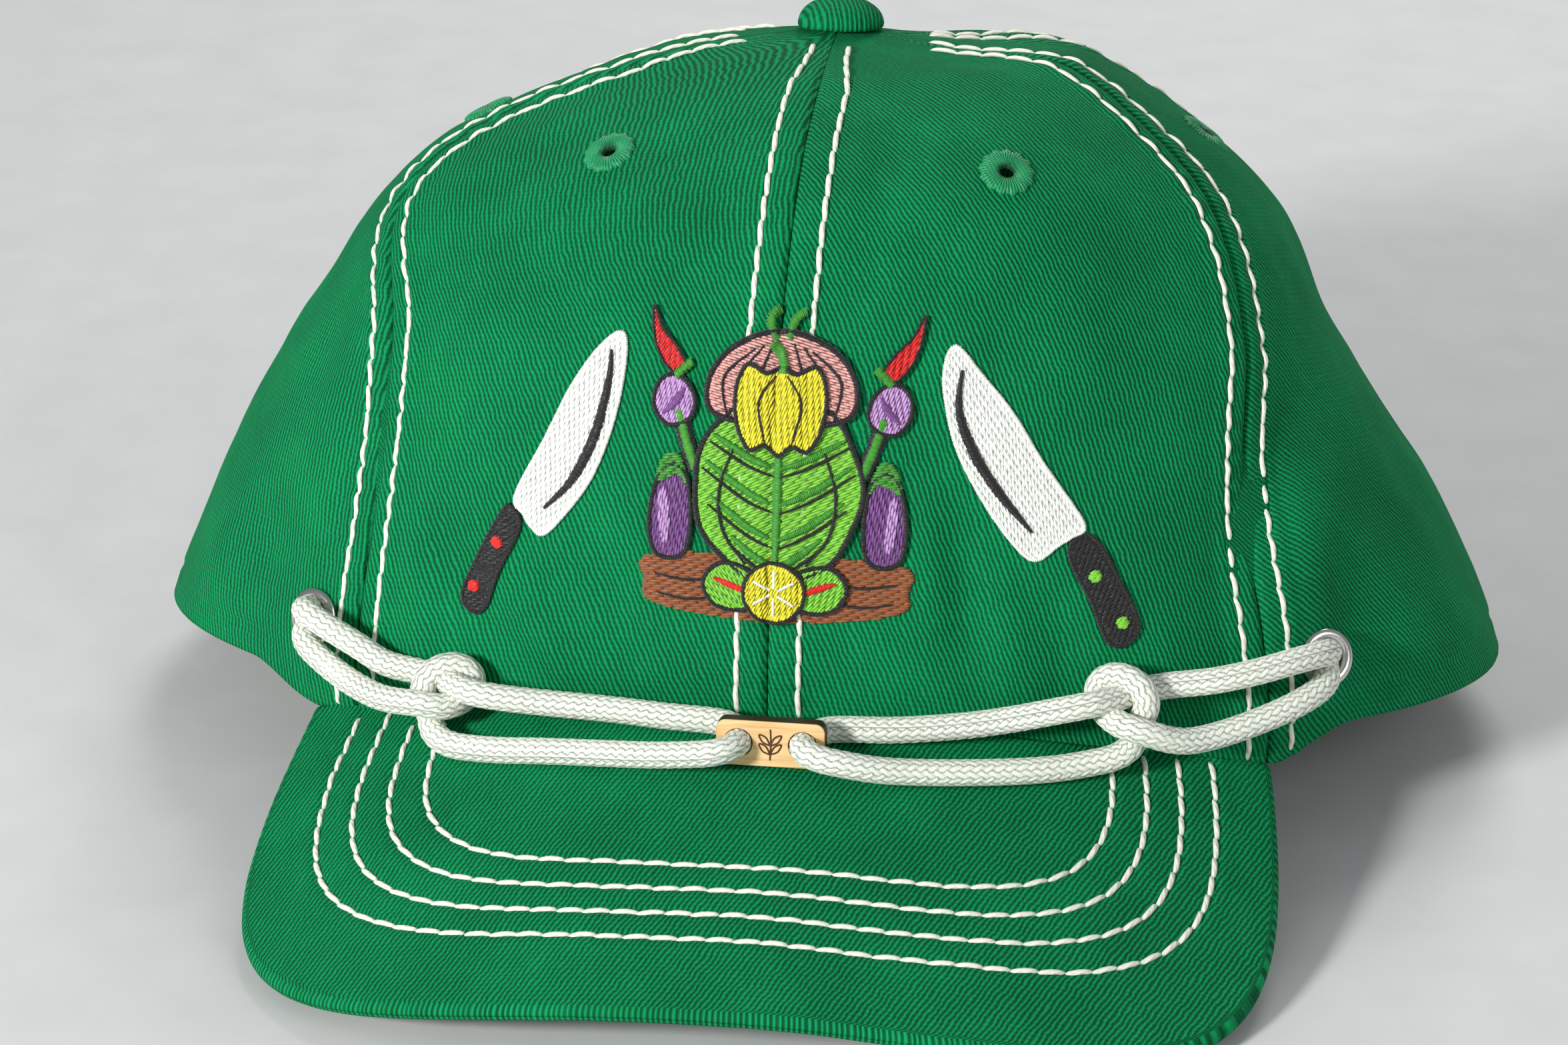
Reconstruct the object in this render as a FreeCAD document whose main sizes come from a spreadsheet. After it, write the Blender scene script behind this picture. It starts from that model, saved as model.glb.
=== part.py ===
import FreeCAD, Part
import math
import os
import sys
from FreeCAD import Placement, Rotation, Vector

# Six-panel cotton cap with a rope front.  Millimetres, +Z up, the front faces -Y.
#
# Everything is designed in the cap's own frame: the origin is the middle of the head opening and
# the opening lies in the plane z = 0.  The REST placement then sets the cap down on a table: it
# stands on the front edge of the visor and on the back of the rim.

os.makedirs("parts", exist_ok=True)
doc = FreeCAD.newDocument("RopeCap")

# ---------------------------------------------------------------- driving dimensions

SIZES = [
    # crown
    ("crown_rise", 108.0), ("rim_half_width", 117.5), ("rim_half_depth", 68.0), ("rim_side_lift", 4.0),
    ("cloth_thick", 0.8), ("cloth_gap", 0.1), ("tape_width", 9.0), ("tape_thick", 0.7),
    ("band_rise", 30.0), ("band_thick", 1.0), ("band_inset", 2.0),
    # visor
    ("visor_half_width", 86.0), ("visor_taper", 6.0), ("visor_reach", 67.0), ("visor_back", 16.0), ("visor_slope", 25.0),
    ("visor_bend", 235.0), ("visor_join_rise", 6.0), ("visor_overlap", 1.0), ("board_thick", 1.8),
    ("cover_thick", 0.7), ("board_inset", 2.0),
    # button
    ("button_radius", 7.25), ("button_rise", 5.2), ("button_wall", 0.6), ("button_stem", 1.1),
    ("button_back_radius", 5.5), ("button_back_thick", 0.8),
    # sewn vent eyelets and metal rope grommets
    ("eyelet_radius", 4.0), ("eyelet_hole", 0.9), ("eyelet_barrel", 2.2), ("eyelet_flange", 0.7),
    ("grommet_radius", 4.9), ("grommet_hole", 3.0), ("grommet_barrel", 3.6), ("grommet_flange", 1.0),
    ("washer_thick", 0.5), ("washer_radius", 4.6),
    # rope and wooden tag
    ("rope_radius", 2.0), ("stopper_radius", 4.6), ("tag_width", 17.6), ("tag_rise", 7.6),
    ("tag_thick", 2.8), ("tag_corner", 1.6), ("tag_hole", 2.3), ("tag_hole_pitch", 10.4),
    # embroidery
    ("thread_lift", 0.15), ("thread_thick", 0.6),
    # back opening, strap and clamp buckle
    ("arch_half_width", 42.0), ("arch_rise", 46.0), ("binding_width", 6.0),
    ("strap_width", 19.0), ("strap_thick", 1.2), ("strap_low", 5.0), ("strap_inside", 4.7),
    ("frame_width", 24.0), ("frame_bar", 3.0), ("frame_thick", 1.5), ("frame_lift", 2.4),
    ("pin_radius", 0.8), ("pin_play", 0.05), ("lever_thick", 1.0), ("lever_reach", 13.5),
    ("barrel_radius", 1.5), ("lever_width", 15.4),
    # how the cap stands on a table
    ("rest_tilt", 10.46), ("rest_lift", 10.53), ("rest_shift", 27.045),
]

sheet = doc.addObject("Spreadsheet::Sheet", "Sizes")
for row, (alias, value) in enumerate(SIZES, start=1):
    sheet.set("A%d" % row, alias)
    sheet.set("B%d" % row, str(value))
    sheet.setAlias("B%d" % row, alias)
doc.recompute()


def size(alias):
    """The value of one driving dimension, read from the sheet."""
    return float(sheet.get(alias))


# Crown stations, from the rim (0) to the top (1): height, half width, half depth (both as a share
# of the rim's), squareness of the section, and the bearing of the seam beside each front panel.
STATIONS = [
    (0.000, 1.000, 1.000, 2.15, 54.6),
    (0.090, 0.973, 1.007, 2.20, 54.6),
    (0.260, 0.905, 1.000, 2.20, 55.0),
    (0.430, 0.825, 0.970, 2.20, 57.2),
    (0.580, 0.740, 0.904, 2.20, 62.3),
    (0.720, 0.660, 0.780, 2.20, 70.4),
    (0.800, 0.584, 0.676, 2.20, 73.6),
    (0.910, 0.394, 0.456, 2.10, 75.4),
    (0.965, 0.237, 0.279, 2.00, 73.0),
    (1.000, 0.030, 0.051, 2.00, 70.0),
]
HALF_WIDTH, HALF_DEPTH, SQUARENESS, SEAM = 1, 2, 3, 4
VISOR_END = 60.0        # bearing, in degrees, where the visor leaves the rim
VISOR_FADE = 5.0        # degrees over which the rim turns from the visor's curve to the side's
PANEL_CLEAR = 0.06      # half of the slit between two panels


def station(fraction, column):
    """Monotone cubic through one column of STATIONS."""
    rows = STATIONS
    last = len(rows) - 1
    slopes = [(rows[i + 1][column] - rows[i][column]) / (rows[i + 1][0] - rows[i][0])
              for i in range(last)]
    tangents = [slopes[0]]
    for i in range(1, last):
        before, after = slopes[i - 1], slopes[i]
        same_way = before * after > 0
        tangents.append(2 * before * after / (before + after) if same_way else 0.0)
    tangents.append(slopes[-1])
    i = 0
    while i < last - 1 and fraction > rows[i + 1][0]:
        i += 1
    span = rows[i + 1][0] - rows[i][0]
    k = (fraction - rows[i][0]) / span
    return ((1 + 2 * k) * (1 - k) ** 2 * rows[i][column] + k * (1 - k) ** 2 * span * tangents[i]
            + k * k * (3 - 2 * k) * rows[i + 1][column] + k * k * (k - 1) * span * tangents[i + 1])


def section_radius(bearing, fraction):
    """Distance from the axis to the crown's outer face, at a bearing from the front."""
    width = size("rim_half_width") * station(fraction, HALF_WIDTH)
    depth = size("rim_half_depth") * station(fraction, HALF_DEPTH)
    power = station(fraction, SQUARENESS)
    across = (abs(math.sin(bearing)) / width) ** power
    along = (abs(math.cos(bearing)) / depth) ** power
    return (across + along) ** (-1.0 / power)


def visor_top(x, y):
    """Height of the visor's upper face over a point of the plan."""
    slope = math.radians(size("visor_slope"))
    bend = size("visor_bend")
    drop = bend - math.sqrt(bend * bend - x * x)
    out = (-size("rim_half_depth") - y + drop * math.sin(slope)) / math.cos(slope)
    return size("visor_join_rise") - out * math.sin(slope) - drop * math.cos(slope)


def rim_height(bearing):
    """Height of the crown's lower edge: it follows the visor in front and lifts at the sides."""
    end = math.radians(VISOR_END)
    fade = math.radians(VISOR_FADE)
    turn = abs(bearing)
    front = min(turn, end + fade)
    reach = section_radius(front, 0.0)
    on_visor = visor_top(reach * math.sin(front), -reach * math.cos(front)) - size("visor_overlap")
    share = min(max((turn - end + fade) / (2 * fade), 0.0), 1.0)
    share = share * share * (3 - 2 * share)
    return on_visor * (1 - share) + share * size("rim_side_lift") * math.sin(turn) ** 2


def crown_point(bearing, fraction):
    reach = section_radius(bearing, fraction)
    low = rim_height(bearing)
    high = low + (size("crown_rise") - low) * fraction
    return Vector(reach * math.sin(bearing), -reach * math.cos(bearing), high)


def crown_normal(bearing, fraction):
    """Unit vector out of the crown."""
    step = 1e-3
    low, high = max(fraction - step, 0.0), min(fraction + step, 1.0)
    around = crown_point(bearing + step, fraction) - crown_point(bearing - step, fraction)
    up = crown_point(bearing, high) - crown_point(bearing, low)
    return around.cross(up).normalize()


def on_crown(bearing, fraction, lift):
    """The point at a height above (or, with a minus sign, under) the crown's outer face."""
    return crown_point(bearing, fraction) + crown_normal(bearing, fraction) * lift


def rest_placement():
    """Turns the cap back on its visor and puts the lowest point on z = 0."""
    tilt = Rotation(Vector(1, 0, 0), -size("rest_tilt"))
    return Placement(Vector(0, size("rest_shift"), size("rest_lift")), tilt)


REST = rest_placement()
NODES = []


def keep(obj, label, local=None):
    """Names a finished sub-part and sets it down in the rest position."""
    obj.Label = label
    obj.Placement = REST.multiply(local) if local else REST
    NODES.append(obj)
    return obj


def feature(label, shape):
    """A sub-part whose shape comes from Part's own functions."""
    obj = doc.addObject("Part::Feature", label)
    obj.Shape = shape
    return keep(obj, label)


def primitive(kind, name, at=None, **bound):
    """A Part primitive whose properties are bound to cells of the sheet."""
    obj = doc.addObject(kind, name)
    for prop, expression in bound.items():
        obj.setExpression(prop, expression)
    if at:
        obj.Placement = at
    return obj


def boolean(kind, name, base, tool):
    obj = doc.addObject(kind, name)
    obj.Base = base
    obj.Tool = tool
    return obj


def axis_placement(point, direction):
    """Placement whose Z axis points along direction."""
    return Placement(point, Rotation(Vector(0, 0, 1), direction))


# ---------------------------------------------------------------- cloth skins

def closed_skin(inner, outer):
    """Solid between two grids of points with the same number of rows and columns."""
    faces = []
    sides = []
    for grid in (inner, outer):
        surface = Part.BSplineSurface()
        surface.interpolate(grid)
        u0, u1, v0, v1 = surface.bounds()
        faces.append(surface.toShape())
        sides.append([surface.uIso(u0), surface.vIso(v1), surface.uIso(u1), surface.vIso(v0)])
    for low, high in zip(*sides):
        faces.append(Part.makeRuledSurface(low.toShape(), high.toShape()))
    shell = Part.makeShell(faces)
    shell.sewShape()
    solid = Part.makeSolid(shell)
    if solid.Volume < 0:
        solid.reverse()
    return solid


def crown_skin(track, low, high, columns, rows, under, over):
    """Skin on the crown: track(share, fraction) gives the bearing across the skin, and under and
    over are the lifts of its two faces, as numbers or as functions of the bearing."""
    grids = []
    for lift in (under, over):
        grid = []
        for i in range(columns + 1):
            line = []
            for j in range(rows + 1):
                share = 1 - (1 - j / rows) ** 1.6 if high > 0.9 else j / rows
                fraction = low + (high - low) * share
                bearing = track(i / columns, fraction)
                line.append(on_crown(bearing, fraction, lift(bearing) if callable(lift) else lift))
            grid.append(line)
        grids.append(grid)
    return closed_skin(*grids)


def seam_bearing(seam, fraction):
    """Bearing of seam 0 (front), 1, 2 (right side) and 3 (back); minus signs are the left side."""
    front = math.radians(station(fraction, SEAM))
    bearings = {0: 0.0, 1: front, 2: math.pi - front, 3: math.pi}
    return math.copysign(bearings[abs(seam)], seam) if seam else 0.0


def between(seam_a, seam_b):
    """Track from one seam to the next, with a slit on each side."""
    def track(share, fraction):
        a, b = seam_bearing(seam_a, fraction), seam_bearing(seam_b, fraction)
        slit = math.copysign(PANEL_CLEAR / section_radius((a + b) / 2, fraction), b - a)
        return a + slit + (b - a - 2 * slit) * share
    return track


def along_seam(seam, width):
    """Track of a tape of that width, centred on a seam."""
    def track(share, fraction):
        middle = seam_bearing(seam, fraction)
        return middle + (share - 0.5) * width / section_radius(middle, fraction)
    return track


def across(first, last):
    """Track between two fixed bearings, in degrees."""
    return lambda share, fraction: math.radians(first + (last - first) * share)


def arch_prism(margin):
    """The back opening as a block along Y, grown by a margin."""
    half = size("arch_half_width") + margin
    rise = size("arch_rise") + margin
    steps = 24
    points = [Vector(half * math.cos(math.pi * i / steps), 0, rise * math.sin(math.pi * i / steps) ** 0.9)
              for i in range(steps + 1)]
    curve = Part.BSplineCurve()
    curve.interpolate(points)
    foot = [points[-1], Vector(-half, 0, -20), Vector(half, 0, -20), points[0]]
    wire = Part.Wire([curve.toShape()] + [Part.makeLine(a, b) for a, b in zip(foot, foot[1:])])
    return Part.Face(wire).extrude(Vector(0, 140, 0))


# ---------------------------------------------------------------- holes through the crown

EYELET_FRACTION = 0.84
EYELETS = [("front_left", -41.0), ("front_right", 41.0), ("side_left", -90.0), ("side_right", 90.0),
           ("back_left", -139.0), ("back_right", 139.0)]
GROMMETS = [("left", -57.6, 0.136), ("right", 62.4, 0.117)]


def crown_axis(bearing, fraction, lift=0.0):
    """Placement on the crown's outer face whose Z axis points outwards."""
    turn = math.radians(bearing)
    return axis_placement(on_crown(turn, fraction, lift), crown_normal(turn, fraction))


def drill(bearing, fraction, radius):
    at = crown_axis(bearing, fraction)
    hole = Part.makeCylinder(radius, 16, Vector(0, 0, -8), Vector(0, 0, 1))
    hole.Placement = at
    return hole


def crown_holes():
    play = 0.1
    holes = [drill(bearing, EYELET_FRACTION, size("eyelet_barrel") + play) for _, bearing in EYELETS]
    holes += [drill(bearing, fraction, size("grommet_barrel") + play) for _, bearing, fraction in GROMMETS]
    return holes


# ---------------------------------------------------------------- crown

PANELS = [("front_left_panel", 0, -1), ("front_right_panel", 0, 1), ("side_left_panel", -1, -2),
          ("side_right_panel", 1, 2), ("back_left_panel", -2, -3), ("back_right_panel", 2, 3)]


def build_panels():
    holes = crown_holes()
    for label, seam_a, seam_b in PANELS:
        skin = crown_skin(between(seam_a, seam_b), 0.0, 1.0, 24, 26, -size("cloth_thick"), 0.0)
        tools = list(holes)
        if "back" in label:
            tools.append(arch_prism(0.0))
        feature(label, skin.cut(tools).Solids[0])


def build_tapes():
    """Bias tape over each seam allowance, inside the crown."""
    outer = -size("cloth_thick") - size("cloth_gap")
    inner = outer - size("tape_thick")
    tapes = [("front_seam_tape", 0, 0.0), ("left_front_seam_tape", -1, 0.0), ("right_front_seam_tape", 1, 0.0),
             ("left_back_seam_tape", -2, 0.0), ("right_back_seam_tape", 2, 0.0), ("back_seam_tape", 3, 0.53)]
    holes = crown_holes()
    for label, seam, low in tapes:
        skin = crown_skin(along_seam(seam, size("tape_width")), low, 0.975, 4, 22, inner, outer)
        feature(label, skin.cut(holes).Solids[0])


def build_sweatband():
    """Folded cotton band inside the rim, open across the back opening."""
    inset = size("band_inset")
    high = size("band_rise") / size("crown_rise")
    end = 143.0
    skin = crown_skin(across(-end, end), 0.0, high, 60, 6, -inset - size("band_thick"), -inset)
    feature("sweatband", skin.cut(crown_holes()[len(EYELETS):]).Solids[0])


def build_arch_binding():
    """Tape that binds the back opening, inside the back panels."""
    outer = -size("cloth_thick") - size("cloth_gap")
    skin = crown_skin(across(132, 228), 0.0, 0.55, 24, 12, outer - size("tape_thick"), outer)
    ring = arch_prism(size("binding_width")).cut(arch_prism(0.3))
    feature("back_opening_binding", skin.common(ring).Solids[0])


# ---------------------------------------------------------------- visor

def visor_frame():
    """Middle of the visor's seam, direction along the visor and its upward normal."""
    slope = math.radians(size("visor_slope"))
    middle = Vector(0, -size("rim_half_depth"), size("visor_join_rise"))
    return middle, Vector(0, -math.cos(slope), -math.sin(slope)), Vector(0, -math.sin(slope), math.cos(slope))


def visor_outline(inset):
    """Block through the visor with its squarish outline, pulled in by inset."""
    middle, along, normal = visor_frame()
    half = size("visor_half_width") - inset
    reach = size("visor_reach") - inset
    back = size("visor_back")
    power = 4.4
    steps = 32
    points = []
    for i in range(steps + 1):
        turn = math.pi * i / steps
        ahead = math.sin(turn) ** (2 / power)
        width = half - size("visor_taper") * (1 - ahead) ** 2
        side = math.copysign(abs(math.cos(turn)) ** (2 / power), math.cos(turn)) * width
        out = -back + (reach + back) * ahead
        points.append(middle + Vector(side, 0, 0) + along * out)
    curve = Part.BSplineCurve()
    curve.interpolate(points)
    foot = [points[-1], points[-1] - along * 30, points[0] - along * 30, points[0]]
    wire = Part.Wire([curve.toShape()] + [Part.makeLine(a, b) for a, b in zip(foot, foot[1:])])
    face = Part.Face(wire)
    face.translate(normal * -60)
    return face.extrude(normal * 120)


def rim_block(margin):
    """Upright block with the outline of the rim, grown by a margin."""
    steps = 72
    points = [on_crown(2 * math.pi * i / steps, 0.02, margin) for i in range(steps)]
    curve = Part.BSplineCurve()
    curve.interpolate([Vector(p.x, p.y, -90) for p in points], PeriodicFlag=True)
    return Part.Face(Part.Wire(curve.toShape())).extrude(Vector(0, 0, 150))


def visor_layer(upper, lower, inset):
    """One bent layer of the visor between two depths below its upper face."""
    middle, along, normal = visor_frame()
    bend = size("visor_bend")
    start = middle - normal * bend - along * 70
    plate = Part.makeCylinder(bend - upper, 200, start, along).cut(
        Part.makeCylinder(bend - lower, 200, start, along))
    clear = 0.35
    return plate.common(visor_outline(inset)).cut(rim_block(clear)).Solids[0]


def build_visor():
    cover, gap, board = size("cover_thick"), size("cloth_gap"), size("board_thick")
    feature("visor_top_cover", visor_layer(0.0, cover, 0.0))
    feature("visor_board", visor_layer(cover + gap, cover + gap + board, size("board_inset")))
    under = cover + 2 * gap + board
    feature("visor_under_cover", visor_layer(under, under + cover, 0.0))


# ---------------------------------------------------------------- covered top button

def build_button():
    """Cloth-covered dome, its metal shell, and the back plate with the stem under the crown."""
    top = size("crown_rise")
    seat = Placement(Vector(0, 0, top + 0.1), Rotation())
    walls = [("Sizes.button_radius", "Sizes.button_rise", "0"),
             ("Sizes.button_radius - 0.05", "Sizes.button_rise - 0.05", "Sizes.button_wall")]
    for label, (radius, rise, start) in zip(("button_cover", "button_shell"), walls):
        wall = "%s - (%s)" % (radius, start)
        outer = primitive("Part::Ellipsoid", label + "_outer", Radius1="%s - (%s)" % (rise, start),
                          Radius2=wall, Radius3=wall, Angle1="0")
        inner = primitive("Part::Ellipsoid", label + "_inner",
                          Radius1="%s - (%s) - Sizes.button_wall" % (rise, start),
                          Radius2=wall + " - Sizes.button_wall",
                          Radius3=wall + " - Sizes.button_wall", Angle1="0")
        keep(boolean("Part::Cut", label + "_dome", outer, inner), label, seat)
    plate_top = top - 4.2
    plate = primitive("Part::Cylinder", "button_plate",
                      Placement(Vector(0, 0, plate_top - size("button_back_thick")), Rotation()),
                      Radius="Sizes.button_back_radius", Height="Sizes.button_back_thick")
    stem = primitive("Part::Cylinder", "button_stem_rod", Placement(Vector(0, 0, plate_top - 0.4), Rotation()),
                     Radius="Sizes.button_stem", Height="Sizes.button_rise + 2.9")
    keep(boolean("Part::Fuse", "button_back_fuse", plate, stem), "button_back")


# ---------------------------------------------------------------- eyelets and grommets

def spool(name, flange, radius, barrel, hole, inner_flange):
    """Flange outside, barrel through the cloth and, if asked, a flange inside."""
    through = "Sizes.cloth_thick + 0.6"
    lift = 0.25
    outer = primitive("Part::Cylinder", name + "_flange", Placement(Vector(0, 0, lift), Rotation()),
                      Radius=radius, Height=flange)
    tube = primitive("Part::Cylinder", name + "_barrel",
                     Placement(Vector(0, 0, -size("cloth_thick") - 0.35), Rotation()),
                     Radius=barrel, Height=through + " + 0.2")
    solid = boolean("Part::Fuse", name + "_body", outer, tube)
    if inner_flange:
        back = primitive("Part::Cylinder", name + "_inner_flange",
                         Placement(Vector(0, 0, -size("cloth_thick") - 0.35 - 0.5), Rotation()),
                         Radius=radius + " - 0.6", Height="0.5")
        solid = boolean("Part::Fuse", name + "_both", solid, back)
    bore = primitive("Part::Cylinder", name + "_bore", Placement(Vector(0, 0, -5), Rotation()),
                     Radius=hole, Height="12")
    return boolean("Part::Cut", name + "_cut", solid, bore)


def build_eyelets():
    for side, bearing in EYELETS:
        label = side + "_vent_eyelet"
        ring = spool(label, "Sizes.eyelet_flange", "Sizes.eyelet_radius", "Sizes.eyelet_barrel",
                     "Sizes.eyelet_hole", True)
        keep(ring, label, crown_axis(bearing, EYELET_FRACTION))


def build_grommets():
    for side, bearing, fraction in GROMMETS:
        at = crown_axis(bearing, fraction)
        label = side + "_grommet"
        ring = spool(label, "Sizes.grommet_flange", "Sizes.grommet_radius", "Sizes.grommet_barrel",
                     "Sizes.grommet_hole", False)
        rounded = doc.addObject("Part::Fillet", label + "_rounded")
        rounded.Base = ring
        doc.recompute()
        rims = [i for i, edge in enumerate(ring.Shape.Edges, start=1)
                if edge.BoundBox.ZMin > size("grommet_flange") and edge.Closed]
        rounded.Edges = [(i, 0.45, 0.45) for i in rims]
        keep(rounded, label, at)
        washer_label = side + "_grommet_washer"
        low = -size("band_inset") - size("band_thick") - 0.3 - size("washer_thick")
        disc = primitive("Part::Cylinder", washer_label + "_disc", Placement(Vector(0, 0, low), Rotation()),
                         Radius="Sizes.washer_radius", Height="Sizes.washer_thick")
        bore = primitive("Part::Cylinder", washer_label + "_bore", Placement(Vector(0, 0, low - 1), Rotation()),
                         Radius="Sizes.grommet_hole", Height="Sizes.washer_thick + 2")
        keep(boolean("Part::Cut", washer_label + "_cut", disc, bore), washer_label, at)


def build_stoppers():
    """Knot of both rope ends inside the crown, with the stub that fills the grommet."""
    for side, bearing, fraction in GROMMETS:
        low = -size("band_inset") - size("band_thick") - size("washer_thick") - 0.6 - size("stopper_radius")
        ball = Part.makeSphere(size("stopper_radius"), Vector(0, 0, low))
        stub = Part.makeCylinder(size("grommet_hole") - 0.2, 0.9 - low, Vector(0, 0, low), Vector(0, 0, 1))
        knot = ball.fuse(stub).removeSplitter()
        obj = doc.addObject("Part::Feature", side + "_stopper_knot")
        obj.Shape = knot.Solids[0]
        keep(obj, side + "_stopper_knot", crown_axis(bearing, fraction))


# ---------------------------------------------------------------- ropes and tag

TAG_MIDDLE = (1.5, -79.8, 5.3)

# Each knot has its own frame on the crown: along (towards the tag), up and out (off the crown).
KNOTS = {"left": (-52.5, -62.7, 7.2), "right": (54.8, -61.9, 12.0)}
KNOT_NORMAL = (0.26, 0.966)     # sideways and forward share of the outward direction


def at_knot(side, along, up, out):
    """Point given in a knot's own frame."""
    x, y, z = KNOTS[side]
    mirror = -1 if side == "left" else 1
    aside, ahead = KNOT_NORMAL
    return (x + mirror * (aside * out - ahead * along), y - ahead * out - aside * along, z + up)


# One rope on each side.  It leaves the grommet as the lower strand, makes the ring of the knot,
# runs on the visor to the tag, goes through the tag from the front and comes back as the upper
# strand, which passes through the ring and returns to the grommet.
GROMMET_END = {"left": [(-82.3, -53.0), (-83.9, -56.0), (-83.1, -59.6)],
               "right": [(90.1, -48.3), (91.6, -51.2), (90.8, -54.8)]}
TAG_TURN = [(4.9, -85.6), (2.2, -82.9), (2.2, -76.3), (4.9, -73.6)]

ROPES = {
    "left": {
        "low_end": (11.0, 10.6, 9.6),
        "to_ring": [(-78.8, -61.8, 7.8), (-74.0, -63.3, 6.0)],
        "ring": [(-15.5, -2.0, 6.6), (-9.6, -2.4, 9.2), (-3.4, -2.2, 11.2), (1.8, -3.8, 8.6),
                 (5.0, -2.2, 4.2), (5.2, 2.6, 2.6), (1.0, 5.5, 3.4), (-3.8, 4.4, 5.8),
                 (-6.2, -0.4, 7.2), (-5.0, -5.4, 6.2), (0.2, -8.0, 10.6)],
        "on_visor": [(-44.6, -76.6, -0.3), (-35.2, -78.4, 0.9), (-25.6, -80.4, 1.9), (-17.8, -83.2, 2.9),
                     (-11.2, -85.0, 4.0)],
        "tag_rise": (4.8, 5.3, 5.3, 5.9),
        "from_tag": [(-10.6, -73.4, 6.2), (-16.6, -73.0, 6.3), (-24.8, -71.4, 6.3), (-34.6, -70.6, 6.4)],
        "through": [(11.0, 0.2, 7.0), (6.0, 0.8, 8.8), (1.2, 0.9, 6.2), (-2.8, 0.9, 3.0),
                    (-7.6, 1.0, 2.2), (-13.0, 1.6, 3.0)],
        "to_grommet": [(-70.0, -61.9, 11.0), (-74.4, -61.9, 12.8), (-78.8, -61.7, 14.2)],
        "high_end": (15.6, 15.6, 15.4),
    },
    "right": {
        "low_end": (12.5, 11.7, 10.4),
        "to_ring": [(84.6, -58.4, 8.4), (76.6, -62.4, 6.4)],
        "ring": [(-14.6, -6.6, 6.6), (-9.0, -6.6, 8.8), (-3.6, -5.8, 10.8), (1.8, -5.0, 8.8),
                 (5.2, -2.4, 4.4), (5.4, 2.6, 2.6), (1.2, 5.4, 3.4), (-3.7, 4.4, 5.8),
                 (-6.2, -0.2, 7.2), (-5.2, -5.2, 5.6), (-1.6, -9.2, 6.6)],
        "on_visor": [(49.6, -71.2, 1.4), (42.6, -75.0, 1.4), (33.5, -78.4, 1.6), (25.6, -80.6, 2.0),
                     (19.4, -83.2, 2.8), (14.2, -85.0, 3.9)],
        "tag_rise": (4.8, 5.3, 5.3, 5.9),
        "from_tag": [(13.6, -73.4, 6.2), (20.8, -73.0, 6.2), (30.7, -71.4, 7.0), (38.4, -69.6, 8.0)],
        "through": [(11.4, -1.6, 7.0), (6.0, 0.0, 8.8), (1.2, 0.2, 6.2), (-2.8, 0.5, 3.0),
                    (-7.6, 1.0, 2.2), (-12.8, 1.6, 3.0)],
        "to_grommet": [(71.2, -61.6, 14.0), (77.4, -61.4, 15.2), (84.2, -58.8, 16.0)],
        "high_end": (16.8, 16.8, 16.6),
    },
}


def rope_route(side):
    """Every corner of one rope, from its lower end to its upper end."""
    parts = ROPES[side]
    mirror = -1 if side == "left" else 1
    route = [(x, y, z) for (x, y), z in zip(GROMMET_END[side], parts["low_end"])]
    route += parts["to_ring"]
    route += [at_knot(side, *point) for point in parts["ring"]]
    route += parts["on_visor"]
    route += [(TAG_MIDDLE[0] + mirror * (x + 3.0), y, z) for (x, y), z in zip(TAG_TURN, parts["tag_rise"])]
    route += parts["from_tag"]
    route += [at_knot(side, *point) for point in parts["through"]]
    route += parts["to_grommet"]
    route += [(x, y, z) for (x, y), z in zip(reversed(GROMMET_END[side]), reversed(parts["high_end"]))]
    return route


def rope_path(points):
    """Straight runs joined by tangent arcs, and the arcs' radii."""
    points = [Vector(*p) for p in points]
    edges = []
    radii = []
    start = points[0]
    for before, corner, after in zip(points, points[1:], points[2:]):
        back = (before - corner).normalize()
        onward = (after - corner).normalize()
        half = (math.pi - back.getAngle(onward)) / 2
        cut = 0.45 * min((before - corner).Length, (after - corner).Length)
        radii.append(cut / math.tan(half))
        first, last = corner + back * cut, corner + onward * cut
        centre = corner + (back + onward).normalize() * (radii[-1] / math.cos(half))
        middle = centre + (corner - centre).normalize() * radii[-1]
        edges.append(Part.LineSegment(start, first).toShape())
        edges.append(Part.Arc(first, middle, last).toShape())
        start = last
    edges.append(Part.LineSegment(start, points[-1]).toShape())
    return Part.Wire(edges), radii


def build_ropes():
    radius = size("rope_radius")
    for side in ROPES:
        label = side + "_rope"
        path, radii = rope_path(rope_route(side))
        start = path.Edges[0]
        circle = Part.makeCircle(radius, start.valueAt(start.FirstParameter), start.tangentAt(start.FirstParameter))
        tube = path.makePipeShell([Part.Wire(circle)], True, False)
        feature(label, tube.Solids[0] if tube.Solids else tube)
        ideal = math.pi * radius ** 2 * path.Length
        print(label, "length %.1f" % path.Length, "volume / ideal %.4f" % (tube.Volume / ideal),
              "radii", " ".join("%.1f" % r for r in radii))


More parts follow.
